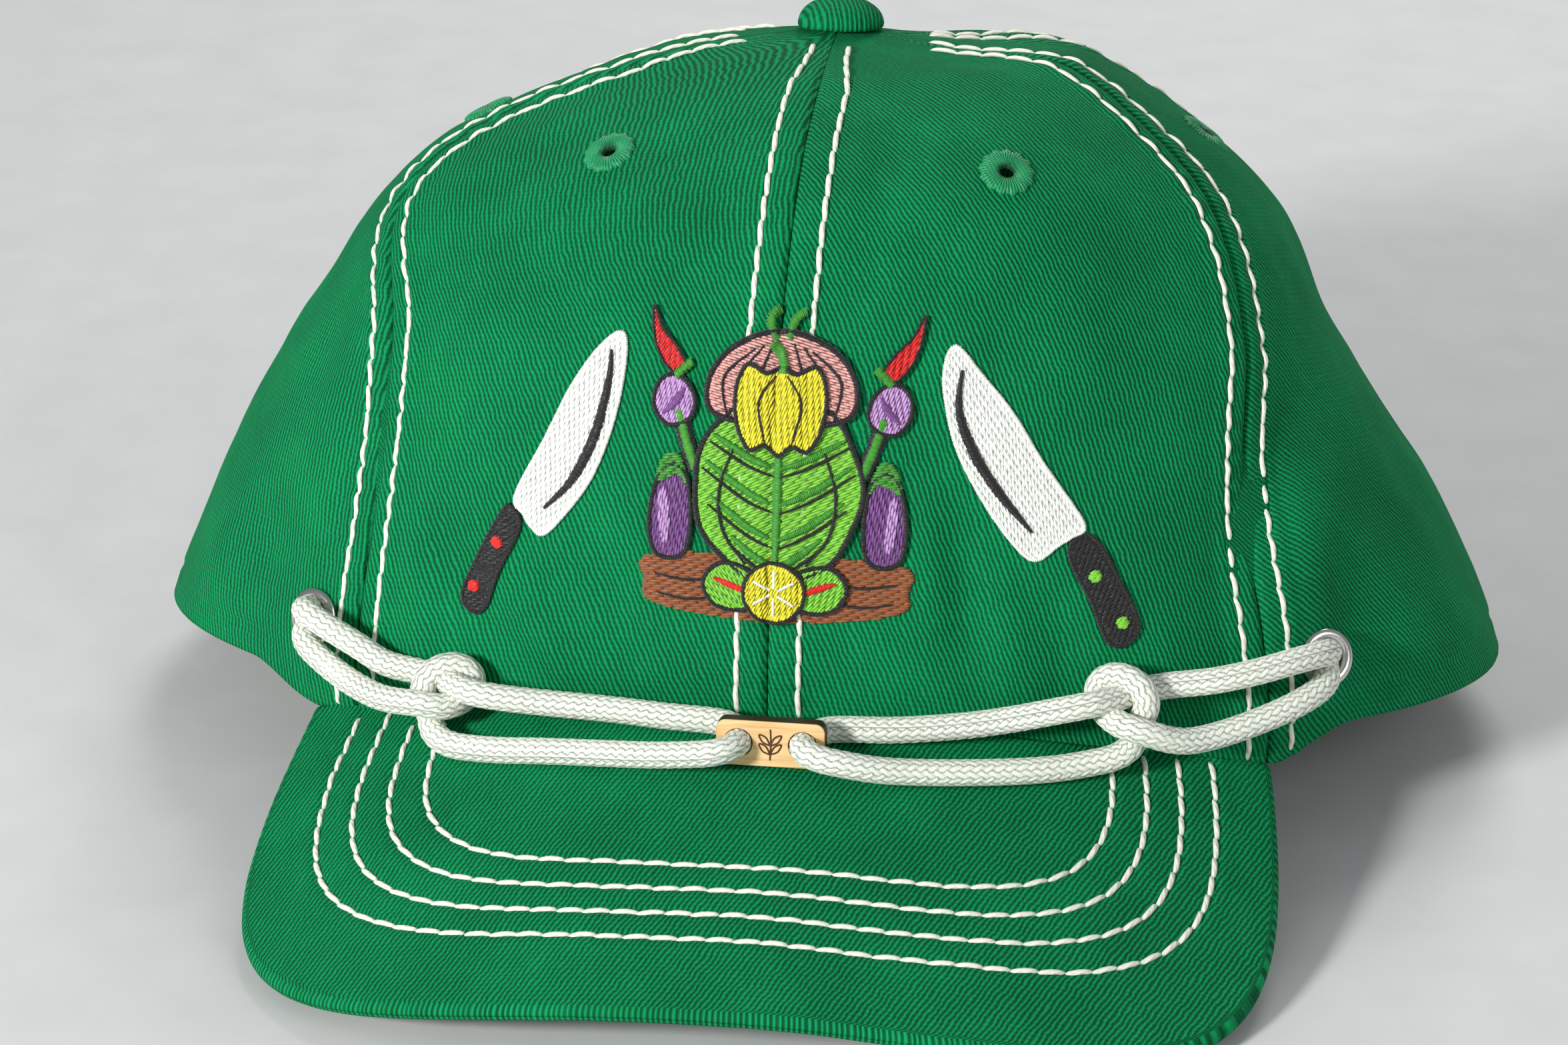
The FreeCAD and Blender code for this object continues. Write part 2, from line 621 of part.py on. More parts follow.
def build_tag():
    """Wooden tag that both ropes are threaded through."""
    body = doc.addObject("PartDesign::Body", "wood_tag_body")
    front = [f for f in body.Origin.OriginFeatures if f.Role == "XZ_Plane"][0]
    sketch = body.newObject("Sketcher::SketchObject", "tag_outline")
    sketch.AttachmentSupport = [(front, "")]
    sketch.MapMode = "FlatFace"
    add_rectangle(sketch, "Sizes.tag_width", "Sizes.tag_rise")
    pad = body.newObject("PartDesign::Pad", "tag_plate")
    pad.Profile = sketch
    pad.setExpression("Length", "Sizes.tag_thick")
    pad.Midplane = True
    doc.recompute()
    corners = ["Edge%d" % i for i, edge in enumerate(pad.Shape.Edges, start=1)
               if edge.BoundBox.YLength > size("tag_thick") - 0.1]
    rounded = body.newObject("PartDesign::Fillet", "tag_corners")
    rounded.Base = (pad, corners)
    rounded.setExpression("Radius", "Sizes.tag_corner")
    holes = body.newObject("Sketcher::SketchObject", "tag_holes")
    holes.AttachmentSupport = [(front, "")]
    holes.MapMode = "FlatFace"
    for i, side in enumerate((-1, 1)):
        holes.addGeometry(Part.Circle(Vector(side * size("tag_hole_pitch") / 2, 0, 0), Vector(0, 0, 1),
                                      size("tag_hole")), False)
        holes.addConstraint(Sketcher.Constraint("Radius", i, size("tag_hole")))
        holes.setExpression("Constraints[%d]" % (holes.ConstraintCount - 1), "Sizes.tag_hole")
        holes.addConstraint(Sketcher.Constraint("PointOnObject", i, 3, -1))
        holes.addConstraint(Sketcher.Constraint("DistanceX", -1, 1, i, 3, side * size("tag_hole_pitch") / 2))
        holes.setExpression("Constraints[%d]" % (holes.ConstraintCount - 1),
                            "%d * Sizes.tag_hole_pitch / 2" % side)
    pocket = body.newObject("PartDesign::Pocket", "tag_bores")
    pocket.Profile = holes
    pocket.Type = 1
    pocket.Midplane = True
    body.Tip = pocket
    doc.recompute()
    expected = 2 * math.pi * size("tag_hole") ** 2 * size("tag_thick")
    if abs(rounded.Shape.Volume - pocket.Shape.Volume - expected) > 0.5:
        sys.exit("the tag's holes are not cut")
    keep(body, "wood_tag", Placement(Vector(*TAG_MIDDLE), Rotation()))


def add_rectangle(sketch, width, rise):
    """Rectangle centred on the sketch's origin, its two sizes bound to expressions."""
    corners = [Vector(-5, -3, 0), Vector(5, -3, 0), Vector(5, 3, 0), Vector(-5, 3, 0)]
    for a, b in zip(corners, corners[1:] + corners[:1]):
        sketch.addGeometry(Part.LineSegment(a, b), False)
    for i in range(4):
        sketch.addConstraint(Sketcher.Constraint("Coincident", i, 2, (i + 1) % 4, 1))
        sketch.addConstraint(Sketcher.Constraint("Vertical" if i % 2 else "Horizontal", i))
    sketch.addConstraint(Sketcher.Constraint("Symmetric", 0, 1, 2, 1, -1, 1))
    sketch.addConstraint(Sketcher.Constraint("DistanceX", 0, 1, 0, 2, 10))
    sketch.setExpression("Constraints[%d]" % (sketch.ConstraintCount - 1), width)
    sketch.addConstraint(Sketcher.Constraint("DistanceY", 1, 1, 1, 2, 6))
    sketch.setExpression("Constraints[%d]" % (sketch.ConstraintCount - 1), rise)


# ---------------------------------------------------------------- embroidery

def turned(points, angle, at):
    """Outline points turned by an angle in degrees and moved, as (x, z) pairs."""
    c, s = math.cos(math.radians(angle)), math.sin(math.radians(angle))
    return [(at[0] + c * x - s * z, at[1] + s * x + c * z) for x, z in points]


# A chef's knife standing on its handle, blade tip up and cutting edge to the right.
KNIFE = [(-3.2, -27.0), (-1.2, -28.6), (1.6, -28.4), (3.0, -26.4), (2.6, -9.5), (5.6, -9.0), (5.8, 4.0),
         (3.8, 16.0), (-1.6, 28.4), (-3.6, 18.0), (-3.6, -9.0), (-2.8, -9.5)]
# The still life of vegetables on a board between the two knives.
EMBLEM = [(-20.0, -22.0), (20.0, -22.0), (20.0, -12.0), (16.5, -9.0), (18.0, 4.0), (15.0, 16.0),
          (18.0, 24.0), (12.0, 23.0), (8.0, 17.0), (0.0, 22.0), (-8.0, 17.0), (-12.0, 23.0),
          (-18.0, 24.0), (-15.0, 16.0), (-18.0, 4.0), (-16.5, -9.0), (-20.0, -12.0)]
EMBROIDERY = [("left_knife_embroidery", turned(KNIFE, -27.0, (-39.0, 43.0))),
              ("right_knife_embroidery", turned([(-x, z) for x, z in KNIFE], 27.5, (42.0, 43.0))),
              ("vegetable_embroidery", turned(EMBLEM, 0.0, (0.0, 46.0)))]


def build_embroidery():
    """Dense satin stitching, as thin plates that follow the front panels."""
    low, high = size("thread_lift"), size("thread_lift") + size("thread_thick")
    skin = crown_skin(across(-58, 58), 0.05, 0.72, 30, 20, low, high)
    for label, outline in EMBROIDERY:
        points = [Vector(x, -100, z) for x, z in outline]
        block = Part.Face(Part.makePolygon(points + points[:1])).extrude(Vector(0, 90, 0))
        feature(label, skin.common(block).Solids[0])
    lift = -size("cloth_thick") - size("tape_thick") - 3 * size("cloth_gap")
    feature("embroidery_backing", crown_skin(across(-44, 44), 0.31, 0.66, 20, 12, lift - 0.3, lift))


# ---------------------------------------------------------------- back strap and clamp buckle

def smooth_step(value, first, last):
    share = min(max((value - first) / (last - first), 0.0), 1.0)
    return share * share * (3 - 2 * share)


STRAP_LIFT = 0.3
BUCKLE_BEARING = 199.5      # degrees, measured the same way as the seams; 180 is the back
TUCK = (196.0, 206.0)       # degrees over which the strap's tail dives into the crown


def strap_lift(bearing):
    """Lift of the strap's inner face: outside the crown, then tucked inside past the buckle."""
    share = smooth_step(math.degrees(bearing), *TUCK)
    return STRAP_LIFT - share * (STRAP_LIFT + size("strap_inside"))


def build_strap():
    low = size("strap_low") / size("crown_rise")
    high = (size("strap_low") + size("strap_width")) / size("crown_rise")
    skin = crown_skin(across(136, 226), low, high, 60, 4, strap_lift,
                      lambda bearing: strap_lift(bearing) + size("strap_thick"))
    feature("back_strap", skin)


def buckle_placement():
    """Local frame of the buckle: X along the strap, Y outwards and Z up the strap's width."""
    bearing = math.radians(BUCKLE_BEARING)
    middle = (size("strap_low") + size("strap_width") / 2) / size("crown_rise")
    outwards = crown_normal(bearing, middle)
    outwards.z = 0
    turn = Rotation(Vector(0, 1, 0), outwards)
    return Placement(crown_point(bearing, middle), turn)


def box(name, centre, sizes):
    """Block centred on a point, its sizes bound to expressions."""
    placed = [size_of(expression) / 2 for expression in sizes]
    corner = Vector(*[c - half for c, half in zip(centre, placed)])
    return primitive("Part::Box", name, Placement(corner, Rotation()),
                     Length=sizes[0], Width=sizes[1], Height=sizes[2])


def size_of(expression):
    """Value of a simple expression of the sheet, as a primitive would read it."""
    holder = doc.addObject("Part::Box", "measure")
    holder.setExpression("Length", expression)
    holder.recompute()
    value = float(holder.Length.Value)
    doc.removeObject(holder.Name)
    return value


PIN_ALONG = 6.5        # pin's distance from the middle of the frame, towards the strap's sewn end
PIN_LIFT = 3.4         # pin's height over the crown


def build_buckle():
    at = buckle_placement()
    lift = size("frame_lift") + size("frame_thick") / 2
    outer = box("frame_plate", (0, lift, 0), ("Sizes.frame_width", "Sizes.frame_thick", "Sizes.frame_width"))
    window = box("frame_window", (0, lift, 0), ("Sizes.frame_width - 2 * Sizes.frame_bar",
                                                "Sizes.frame_thick + 2",
                                                "Sizes.frame_width - 2 * Sizes.frame_bar"))
    ring = boolean("Part::Cut", "frame_ring", outer, window)
    bearings = []
    for name, side in (("upper", 1), ("lower", -1)):
        height = side * (size("frame_width") / 2 - size("frame_bar") / 2)
        bearings.append(box("frame_%s_lug" % name, (PIN_ALONG, PIN_LIFT + 0.2, height),
                            ("3.6", "2.2", "Sizes.frame_bar")))
    lugs = boolean("Part::Fuse", "frame_lugs", *bearings)
    solid = boolean("Part::Fuse", "frame_solid", ring, lugs)
    bore = primitive("Part::Cylinder", "frame_bore",
                     Placement(Vector(PIN_ALONG, PIN_LIFT, -20), Rotation()),
                     Radius="Sizes.pin_radius + Sizes.pin_play", Height="40")
    keep(boolean("Part::Cut", "frame_cut", solid, bore), "buckle_frame", at)

    pin = primitive("Part::Cylinder", "pin_rod", None, Radius="Sizes.pin_radius",
                    Height="Sizes.frame_width - 0.6")
    pin_low = -size("frame_width") / 2 + 0.3
    keep(pin, "buckle_pin", at.multiply(Placement(Vector(PIN_ALONG, PIN_LIFT, pin_low), Rotation())))

    barrel = primitive("Part::Cylinder", "lever_barrel",
                       Placement(Vector(PIN_ALONG, PIN_LIFT, -size("lever_width") / 2), Rotation()),
                       Radius="Sizes.barrel_radius", Height="Sizes.lever_width")
    plate_lift = size("frame_lift") + size("frame_thick") + 0.3 + size("lever_thick") / 2
    plate = box("lever_plate", (PIN_ALONG - size("lever_reach") / 2, plate_lift, 0),
                ("Sizes.lever_reach", "Sizes.lever_thick", "Sizes.lever_width"))
    lever = boolean("Part::Fuse", "lever_solid", barrel, plate)
    eye = primitive("Part::Cylinder", "lever_eye", Placement(Vector(PIN_ALONG, PIN_LIFT, -20), Rotation()),
                    Radius="Sizes.pin_radius + Sizes.pin_play", Height="40")
    keep(boolean("Part::Cut", "lever_cut", lever, eye), "buckle_lever", at)


def build_buckle_tab():
    """Strip of cloth folded round the frame's end bar and sewn to the back panel."""
    width = size("strap_width") - 1.0
    thick = size("strap_thick")
    bar_at = -(size("frame_width") - size("frame_bar")) / 2
    near, far = STRAP_LIFT, size("frame_lift") + size("frame_thick") + STRAP_LIFT + thick
    end = bar_at + size("frame_bar") / 2 + STRAP_LIFT
    length = 20.0
    outer = Part.makeBox(length, far - near, width, Vector(end + thick - length, near, -width / 2))
    hollow_low = near + thick
    hollow = Part.makeBox(size("frame_bar") + 2 * STRAP_LIFT, far - thick - hollow_low, width + 2,
                          Vector(end - size("frame_bar") - 2 * STRAP_LIFT, hollow_low, -width / 2 - 1))
    tail = Part.makeBox(length, far, width + 2, Vector(end - size("frame_bar") - 2.5 - length, near + 2 * thick,
                                                       -width / 2 - 1))
    shape = outer.cut(hollow).cut(tail)
    obj = doc.addObject("Part::Feature", "buckle_tab")
    obj.Shape = shape.Solids[0]
    keep(obj, "buckle_tab", buckle_placement())


# ---------------------------------------------------------------- build, check and write

def check_and_write():
    doc.recompute()
    for obj in doc.Objects:
        if "Invalid" in obj.State or "Error" in obj.State:
            sys.exit("%s failed: %s" % (obj.Name, obj.State))
    for obj in NODES:
        shape = obj.Shape
        if shape.isNull() or not shape.isValid() or not shape.Solids:
            sys.exit("%s has no valid shape" % obj.Label)
        shape.exportStep(os.path.join("parts", obj.Label + ".step"))
        low = shape.BoundBox
        print("%-26s solids %d volume %9.1f  x %7.1f %7.1f  y %7.1f %7.1f  z %7.1f %7.1f" % (
            obj.Label, len(shape.Solids), shape.Volume, low.XMin, low.XMax, low.YMin, low.YMax,
            low.ZMin, low.ZMax))


import Sketcher

build_panels()
build_tapes()
build_sweatband()
build_arch_binding()
build_visor()
build_button()
build_eyelets()
build_grommets()
build_stoppers()
build_ropes()
build_tag()
build_embroidery()
build_strap()
build_buckle()
build_buckle_tab()
check_and_write()
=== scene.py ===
import math

import bpy
import numpy as np
from mathutils import Matrix, Vector


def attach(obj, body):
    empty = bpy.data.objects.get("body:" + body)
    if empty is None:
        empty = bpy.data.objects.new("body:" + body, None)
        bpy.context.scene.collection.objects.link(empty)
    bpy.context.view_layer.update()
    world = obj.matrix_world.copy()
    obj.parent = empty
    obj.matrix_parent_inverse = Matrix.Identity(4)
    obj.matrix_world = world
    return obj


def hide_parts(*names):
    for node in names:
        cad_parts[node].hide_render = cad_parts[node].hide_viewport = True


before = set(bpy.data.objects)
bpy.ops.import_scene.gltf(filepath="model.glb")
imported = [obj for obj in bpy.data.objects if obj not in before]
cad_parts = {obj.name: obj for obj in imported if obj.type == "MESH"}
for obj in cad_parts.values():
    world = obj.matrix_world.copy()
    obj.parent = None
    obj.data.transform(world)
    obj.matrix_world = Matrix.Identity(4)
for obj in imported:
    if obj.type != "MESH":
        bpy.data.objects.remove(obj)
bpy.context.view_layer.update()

# Everything is worked out in millimetres in the cap's own frame (head opening in the plane z = 0,
# front towards -Y) and set down on the table by to_row(), as the CAD model is.
REST_TILT = math.radians(10.46)         # the cap rests on its visor's corners and the back of its rim
REST_SHIFT = 27.045
REST_LIFT = 10.53


def to_row(points):
    """Millimetres in the cap's frame to metres in the row's frame."""
    p = np.atleast_2d(np.asarray(points, float))
    c, s = math.cos(REST_TILT), math.sin(REST_TILT)
    y = p[:, 1] * c + p[:, 2] * s + REST_SHIFT
    z = -p[:, 1] * s + p[:, 2] * c + REST_LIFT
    return np.stack([p[:, 0], y, z], 1) / 1000.0


def dir_to_row(v):
    """Direction in the cap's frame to a unit vector in the row's frame."""
    return Vector(to_row([v])[0] - to_row([(0, 0, 0)])[0]).normalized()


def show(obj):
    """Put an object in the scene."""
    bpy.context.scene.collection.objects.link(obj)
    return obj


# ---- camera

CAMERA_TARGET, CAMERA_DISTANCE = np.array([-5.5, -20.0, 25.0]), 745.0
CAMERA_LENS, CAMERA_SENSOR = 99.5, 36.0


def aim_camera():
    """Long lens, a little to the right of the middle and above the visor."""
    azimuth, elevation, roll = math.radians(8.0), math.radians(15.5), math.radians(1.0)
    back = np.array([math.sin(azimuth) * math.cos(elevation), -math.cos(azimuth) * math.cos(elevation),
                     math.sin(elevation)])
    right = np.array([math.cos(azimuth), math.sin(azimuth), 0.0])
    x = dir_to_row(math.cos(roll) * right + math.sin(roll) * np.cross(back, right))
    z = dir_to_row(back)
    place = Matrix((x, z.cross(x), z)).transposed().to_4x4()
    place.translation = Vector(to_row([CAMERA_TARGET + CAMERA_DISTANCE * back])[0])
    data = bpy.data.cameras.new("camera")
    data.sensor_width, data.lens = CAMERA_SENSOR, CAMERA_LENS
    camera = show(bpy.data.objects.new("camera", data))
    camera.matrix_world = place
    bpy.context.scene.camera = camera


aim_camera()


# ---- shape of the cap

# Crown height, half width and half depth of the rim, and how far the rim is lifted at the sides.
RISE, RIM_WIDTH, RIM_DEPTH, SIDE_LIFT = 108.0, 117.5, 68.0, 4.0
# Share of the height; width and depth there as shares of the rim's; squareness; front seams' bearing.
STATIONS = np.array([
    (0.000, 1.000, 1.000, 2.15, 54.6),
    (0.090, 0.973, 1.007, 2.20, 54.6),
    (0.260, 0.905, 1.000, 2.20, 55.0),
    (0.430, 0.825, 0.970, 2.20, 57.2),
    (0.580, 0.740, 0.904, 2.20, 62.3),
    (0.720, 0.660, 0.780, 2.20, 70.4),
    (0.800, 0.584, 0.676, 2.20, 73.6),
    (0.910, 0.394, 0.456, 2.10, 75.4),
    (0.965, 0.237, 0.279, 2.00, 73.0),
    (1.000, 0.030, 0.051, 2.00, 70.0),
])
# The visor's fall forwards, its bend's radius, its height at the seam and how far the crown laps it.
SLOPE, BEND, JOIN_RISE, OVERLAP = math.radians(25.0), 235.0, 6.0, 1.0
VISOR_END, VISOR_FADE = math.radians(60.0), math.radians(5.0)


def station(fraction, column):
    """Monotone cubic through one column of STATIONS."""
    x, y = STATIONS[:, 0], STATIONS[:, column]
    slope = np.diff(y) / np.diff(x)
    tangent = np.empty_like(y)
    tangent[0], tangent[-1] = slope[0], slope[-1]
    product = slope[:-1] * slope[1:]
    total = slope[:-1] + slope[1:]
    tangent[1:-1] = np.where(product > 0, 2 * product / np.where(total == 0, 1, total), 0)
    f = np.clip(fraction, 0, 1)
    i = np.clip(np.searchsorted(x, f, "right") - 1, 0, len(x) - 2)
    span = x[i + 1] - x[i]
    k = (f - x[i]) / span
    return ((1 + 2 * k) * (1 - k) ** 2 * y[i] + k * (1 - k) ** 2 * span * tangent[i]
            + k * k * (3 - 2 * k) * y[i + 1] + k * k * (k - 1) * span * tangent[i + 1])


def section_radius(bearing, fraction):
    width, depth = RIM_WIDTH * station(fraction, 1), RIM_DEPTH * station(fraction, 2)
    power = station(fraction, 3)
    return ((np.abs(np.sin(bearing)) / width) ** power
            + (np.abs(np.cos(bearing)) / depth) ** power) ** (-1 / power)


def smooth(value, low, high):
    share = np.clip((value - low) / (high - low), 0, 1)
    return share * share * (3 - 2 * share)


def visor_top(x, y):
    drop = BEND - np.sqrt(BEND ** 2 - x * x)
    out = (-RIM_DEPTH - y + drop * math.sin(SLOPE)) / math.cos(SLOPE)
    return JOIN_RISE - out * math.sin(SLOPE) - drop * math.cos(SLOPE)


def rim_height(bearing):
    turn = np.abs(bearing)
    front = np.minimum(turn, VISOR_END + VISOR_FADE)
    reach = section_radius(front, np.zeros_like(front))
    on_visor = visor_top(reach * np.sin(front), -reach * np.cos(front)) - OVERLAP
    share = smooth(turn, VISOR_END - VISOR_FADE, VISOR_END + VISOR_FADE)
    return on_visor * (1 - share) + share * SIDE_LIFT * np.sin(turn) ** 2


def unit(v):
    return v / np.maximum(np.linalg.norm(v, axis=-1, keepdims=True), 1e-12)


# The soft crown leans and sags a little as it stands: middle (sideways, up), amount and radius.
SAGS = [((-42, 92), -1.1, 26), ((33, 97), 4.4, 25), ((97, 56), -4.2, 27)]


def bare_crown(bearing, fraction):
    """Plain crown with its broad sag, before seams and folds."""
    bearing, fraction = np.broadcast_arrays(np.asarray(bearing, float), np.asarray(fraction, float))
    reach = section_radius(bearing, fraction)
    low = rim_height(np.where(bearing > math.pi, bearing - 2 * math.pi, bearing))
    points = np.stack([reach * np.sin(bearing), -reach * np.cos(bearing), low + (RISE - low) * fraction], -1)
    sag = 0.0
    for middle, amount, radius in SAGS:
        gap = np.linalg.norm(points[..., [0, 2]] - np.array(middle, float), axis=-1)
        sag = sag + amount * np.exp(-(gap / radius) ** 2)
    sag = sag * (1 - smooth(fraction, 0.93, 0.985)) * smooth(-points[..., 1], -75, -30)
    return points + unit(points - np.array([0, 0, 30.0])) * sag[..., None]


def crown_normal(bearing, fraction):
    step = 1e-3
    around = bare_crown(bearing + step, fraction) - bare_crown(bearing - step, fraction)
    up = bare_crown(bearing, np.minimum(fraction + step, 1)) - bare_crown(bearing, np.maximum(fraction - step, 0))
    return unit(np.cross(around, up))


def seam_bearing(seam, fraction):
    """0 is the front seam, 1 and 2 the right ones, 3 the back one; minus signs are the left side.

    The soft crown has turned a little on its rim, so the front seams are twisted by some degrees.
    """
    front = np.radians(station(fraction, 4))
    back = 0.5 * front + 0.5 * np.radians(55 + 7 * smooth(fraction, 0.3, 0.85))
    bearing = {0: 0 * front, 1: front, 2: math.pi - back, 3: 0 * front + math.pi}[abs(seam)]
    twist = {0: -0.8, 1: 2.2 - 5.0 * smooth(fraction, 0.55, 0.76)}.get(abs(seam), 0.0)
    twist = np.radians(twist) * (1 - smooth(fraction, 0.86, 0.96))
    return (-bearing if seam < 0 else bearing) + twist


def seam_spread(seam, fraction):
    """Millimetres across the seam for one radian of bearing."""
    step = 1e-3
    low, high = np.maximum(fraction - step, 0), np.minimum(fraction + step, 1)
    along = unit(bare_crown(seam_bearing(seam, high), high) - bare_crown(seam_bearing(seam, low), low))
    bearing = seam_bearing(seam, fraction)
    around = (bare_crown(bearing + step, fraction) - bare_crown(bearing - step, fraction)) / (2 * step)
    return np.linalg.norm(np.cross(around, along), axis=-1)


SPREAD_AT = np.linspace(0, 1, 201)
SPREADS = {seam: seam_spread(seam, SPREAD_AT) for seam in (0, 1, -1, 2, -2, 3)}


def from_seam(seam, bearing, fraction):
    """Signed distance from a seam, in millimetres."""
    turn = bearing - seam_bearing(seam, fraction)
    turn = (turn + math.pi) % (2 * math.pi) - math.pi
    return turn * np.interp(fraction, SPREAD_AT, SPREADS[seam])


def ripple(points, length, seed):
    """Smooth wandering field of about the given wavelength, from about -1 to 1."""
    rng = np.random.default_rng(seed)
    waves, total = 7, 0
    for _ in range(waves):
        way = unit(rng.normal(size=3)) * rng.uniform(0.7, 1.4)
        total = total + np.sin(points @ way * (2 * math.pi / length) + rng.uniform(0, 6.28))
    return total / math.sqrt(waves * 2.0)


SEAM_RUN = 150          # length of a seam from rim to button
ROW_GAPS = {0: 5.05, 1: 3.8, -1: 3.8, 2: 4.0, -2: 4.0, 3: 5.05}     # from a seam to the stitch row beside it
# Soft folds seen from the front: two ends (sideways, up), height and half width in millimetres.
FOLD_DEPTH = 1.5        # factor on every fold's height
FOLDS = [
    ((33, 12), (28, 40), -1.1, 5.0), ((38, 10), (34, 34), 0.7, 4.0), ((24, 46), (20, 66), -0.8, 5.0),
    ((-44, 12), (-56, 30), -0.8, 4.0), ((-34, 10), (-46, 24), 0.6, 3.5), ((72, 24), (78, 52), -1.2, 6.0),
    ((62, 72), (70, 50), 0.6, 6.0), ((-72, 30), (-66, 60), -0.9, 7.0), ((12, 84), (16, 100), -0.5, 4.0),
    ((-22, 78), (-40, 60), 0.4, 7.0), ((96, 8), (92, 30), -1.2, 7.0), ((-94, 10), (-88, 34), -1.0, 7.0),
    ((27, 20), (24, 44), 0.8, 3.2), ((30, 56), (40, 78), -0.5, 5.0), ((-24, 14), (-30, 34), -0.6, 4.0),
    ((48, 6), (45, 24), -0.8, 3.6), ((-60, 8), (-62, 30), 0.7, 4.0), ((84, 10), (86, 40), 0.9, 5.0),
    ((8, 66), (13, 84), -0.45, 4.0), ((-12, 84), (-30, 96), -0.5, 4.0),
]


def fold_relief(points):
    front = smooth(-points[..., 1], -10, 15)
    total = 0
    for a, b, height, width in FOLDS:
        a, b = np.array(a, float), np.array(b, float)
        p = points[..., [0, 2]] - a
        share = np.clip(p @ (b - a) / ((b - a) @ (b - a)), 0, 1)
        gap = np.linalg.norm(p - share[..., None] * (b - a), axis=-1)
        fade = np.sin(math.pi * np.clip(0.15 + 0.7 * share, 0, 1))
        total = total + FOLD_DEPTH * height * fade * np.exp(-(gap / width) ** 2)
    return total * front


def crown_relief(bearing, fraction, points):
    """How far the cloth stands out from the plain shape: seams, stitch rows, puckers and folds."""
    top = 1 - smooth(fraction, 0.93, 0.99)
    relief = np.zeros(np.shape(bearing))
    near = np.full(np.shape(bearing), 99.0)
    for seam in SPREADS:
        gap = np.abs(from_seam(seam, bearing, fraction))
        length = fraction * SEAM_RUN
        relief = relief + 0.55 * (1 - smooth(gap, 4.6, 7.0)) * top              # folded allowances
        relief = relief - 0.75 * np.exp(-(gap / 0.6) ** 2) * top                # the seam's own groove
        relief = relief - 0.38 * np.exp(-((gap - ROW_GAPS[seam]) / 0.8) ** 2) * top     # pull of the stitches
        pucker = np.sin(2 * math.pi * length / 5.0 + 1.7 * seam + 2 * np.sin(length / 11.0))
        relief = relief + 0.16 * pucker * np.exp(-((gap - 3.6) / 2.4) ** 2) * top
        near = np.minimum(near, gap)
    loose = smooth(near, 6, 20) * smooth(fraction, 0.0, 0.12)
    side = 0.60 + 0.40 * smooth(np.abs(points[..., 0]), 45, 80)
    side = np.maximum(side, smooth(points[..., 1], 0, 30))
    relief = relief + loose * side * (0.75 * ripple(points, 46, 3) + 0.3 * ripple(points, 19, 4))
    relief = relief + 0.05 * ripple(points, 6.5, 5)
    hem = fraction * 105                                    # height over the rim; its stitch row is at 4.5
    relief = relief - 0.4 * np.exp(-((hem - 4.5) / 0.7) ** 2) * smooth(np.abs(bearing), 1.05, 1.2)
    return relief + fold_relief(points) * smooth(fraction, 0.0, 0.05)


def crown_cloth(bearing, fraction):
    """Points on the real, uneven cloth and their outward directions."""
    bearing, fraction = np.broadcast_arrays(np.asarray(bearing, float), np.asarray(fraction, float))
    points = bare_crown(bearing, fraction)
    normals = crown_normal(bearing, fraction)
    return points + normals * crown_relief(bearing, fraction, points)[..., None], normals


# ---- mesh helpers

def new_object(name, verts_mm, faces, materials, uvs=None, smooth_shade=True, face_slots=None, shades=None):
    """Mesh object from points in the cap's frame.  uvs and shades are one value per vertex."""
    if name in bpy.data.objects:
        name += "_look"
    mesh = bpy.data.meshes.new(name)
    mesh.from_pydata(to_row(verts_mm).tolist(), [], [tuple(int(i) for i in f) for f in faces])
    for material in materials:
        mesh.materials.append(material)
    if face_slots is not None:
        mesh.polygons.foreach_set("material_index", np.asarray(face_slots, np.int32))
    corner = np.empty(len(mesh.loops), np.int32)
    mesh.loops.foreach_get("vertex_index", corner)
    if uvs is not None:
        layer = mesh.uv_layers.new(name="weave")
        layer.data.foreach_set("uv", np.asarray(uvs, np.float32)[corner].ravel())
    if shades is not None:
        attribute = mesh.attributes.new("shade", "FLOAT", "POINT")
        attribute.data.foreach_set("value", np.asarray(shades, np.float32))
    if smooth_shade:
        mesh.polygons.foreach_set("use_smooth", np.ones(len(mesh.polygons), bool))
    mesh.validate()
    mesh.update()
    return show(bpy.data.objects.new(name, mesh))


def grid_faces(rows, columns, start=0, wrap=False, flip=False):
    """Quads of a grid whose vertices run row by row."""
    i, j = np.meshgrid(np.arange(rows - 1), np.arange(columns if wrap else columns - 1), indexing="ij")
    k = (j + 1) % columns
    quads = np.stack([i * columns + j, i * columns + k, (i + 1) * columns + k, (i + 1) * columns + j], -1)
    quads = quads.reshape(-1, 4) + start
    return quads[:, ::-1] if flip else quads


def cloth_piece(name, slot, outer, inner, material, uvs, drop=None):
    """Closed cloth from two grids (rows, columns, 3); drop is a mask of quads left out as holes."""
    rows, columns = outer.shape[:2]
    count = rows * columns
    top = grid_faces(rows, columns)
    if drop is not None:
        top = top[~drop.ravel()]
    edges = {}
    for a, b, c, d in top:
        for e in ((a, b), (b, c), (c, d), (d, a)):
            if (e[1], e[0]) in edges:
                del edges[(e[1], e[0])]
            else:
                edges[e] = True
    rim = np.array([(b, a, a + count, b + count) for a, b in edges])
    faces = np.concatenate([top, top[:, ::-1] + count, rim])
    verts = np.concatenate([outer.reshape(-1, 3), inner.reshape(-1, 3)])
    uv = np.concatenate([uvs.reshape(-1, 2)] * 2)
    piece(new_object(name, verts, faces, [material], uv), slot, name)


def weave_coordinates(points):
    """Lengths across and along a grid of points, in millimetres, measured from its middle."""
    across = np.linalg.norm(np.diff(points, axis=1), axis=-1).cumsum(1)
    across = np.concatenate([np.zeros((points.shape[0], 1)), across], 1)
    across = across - across[:, points.shape[1] // 2][:, None]
    along = np.linalg.norm(np.diff(points, axis=0), axis=-1).cumsum(0)
    along = np.concatenate([np.zeros((1, points.shape[1])), along], 0)
    return np.stack([across, along], -1)


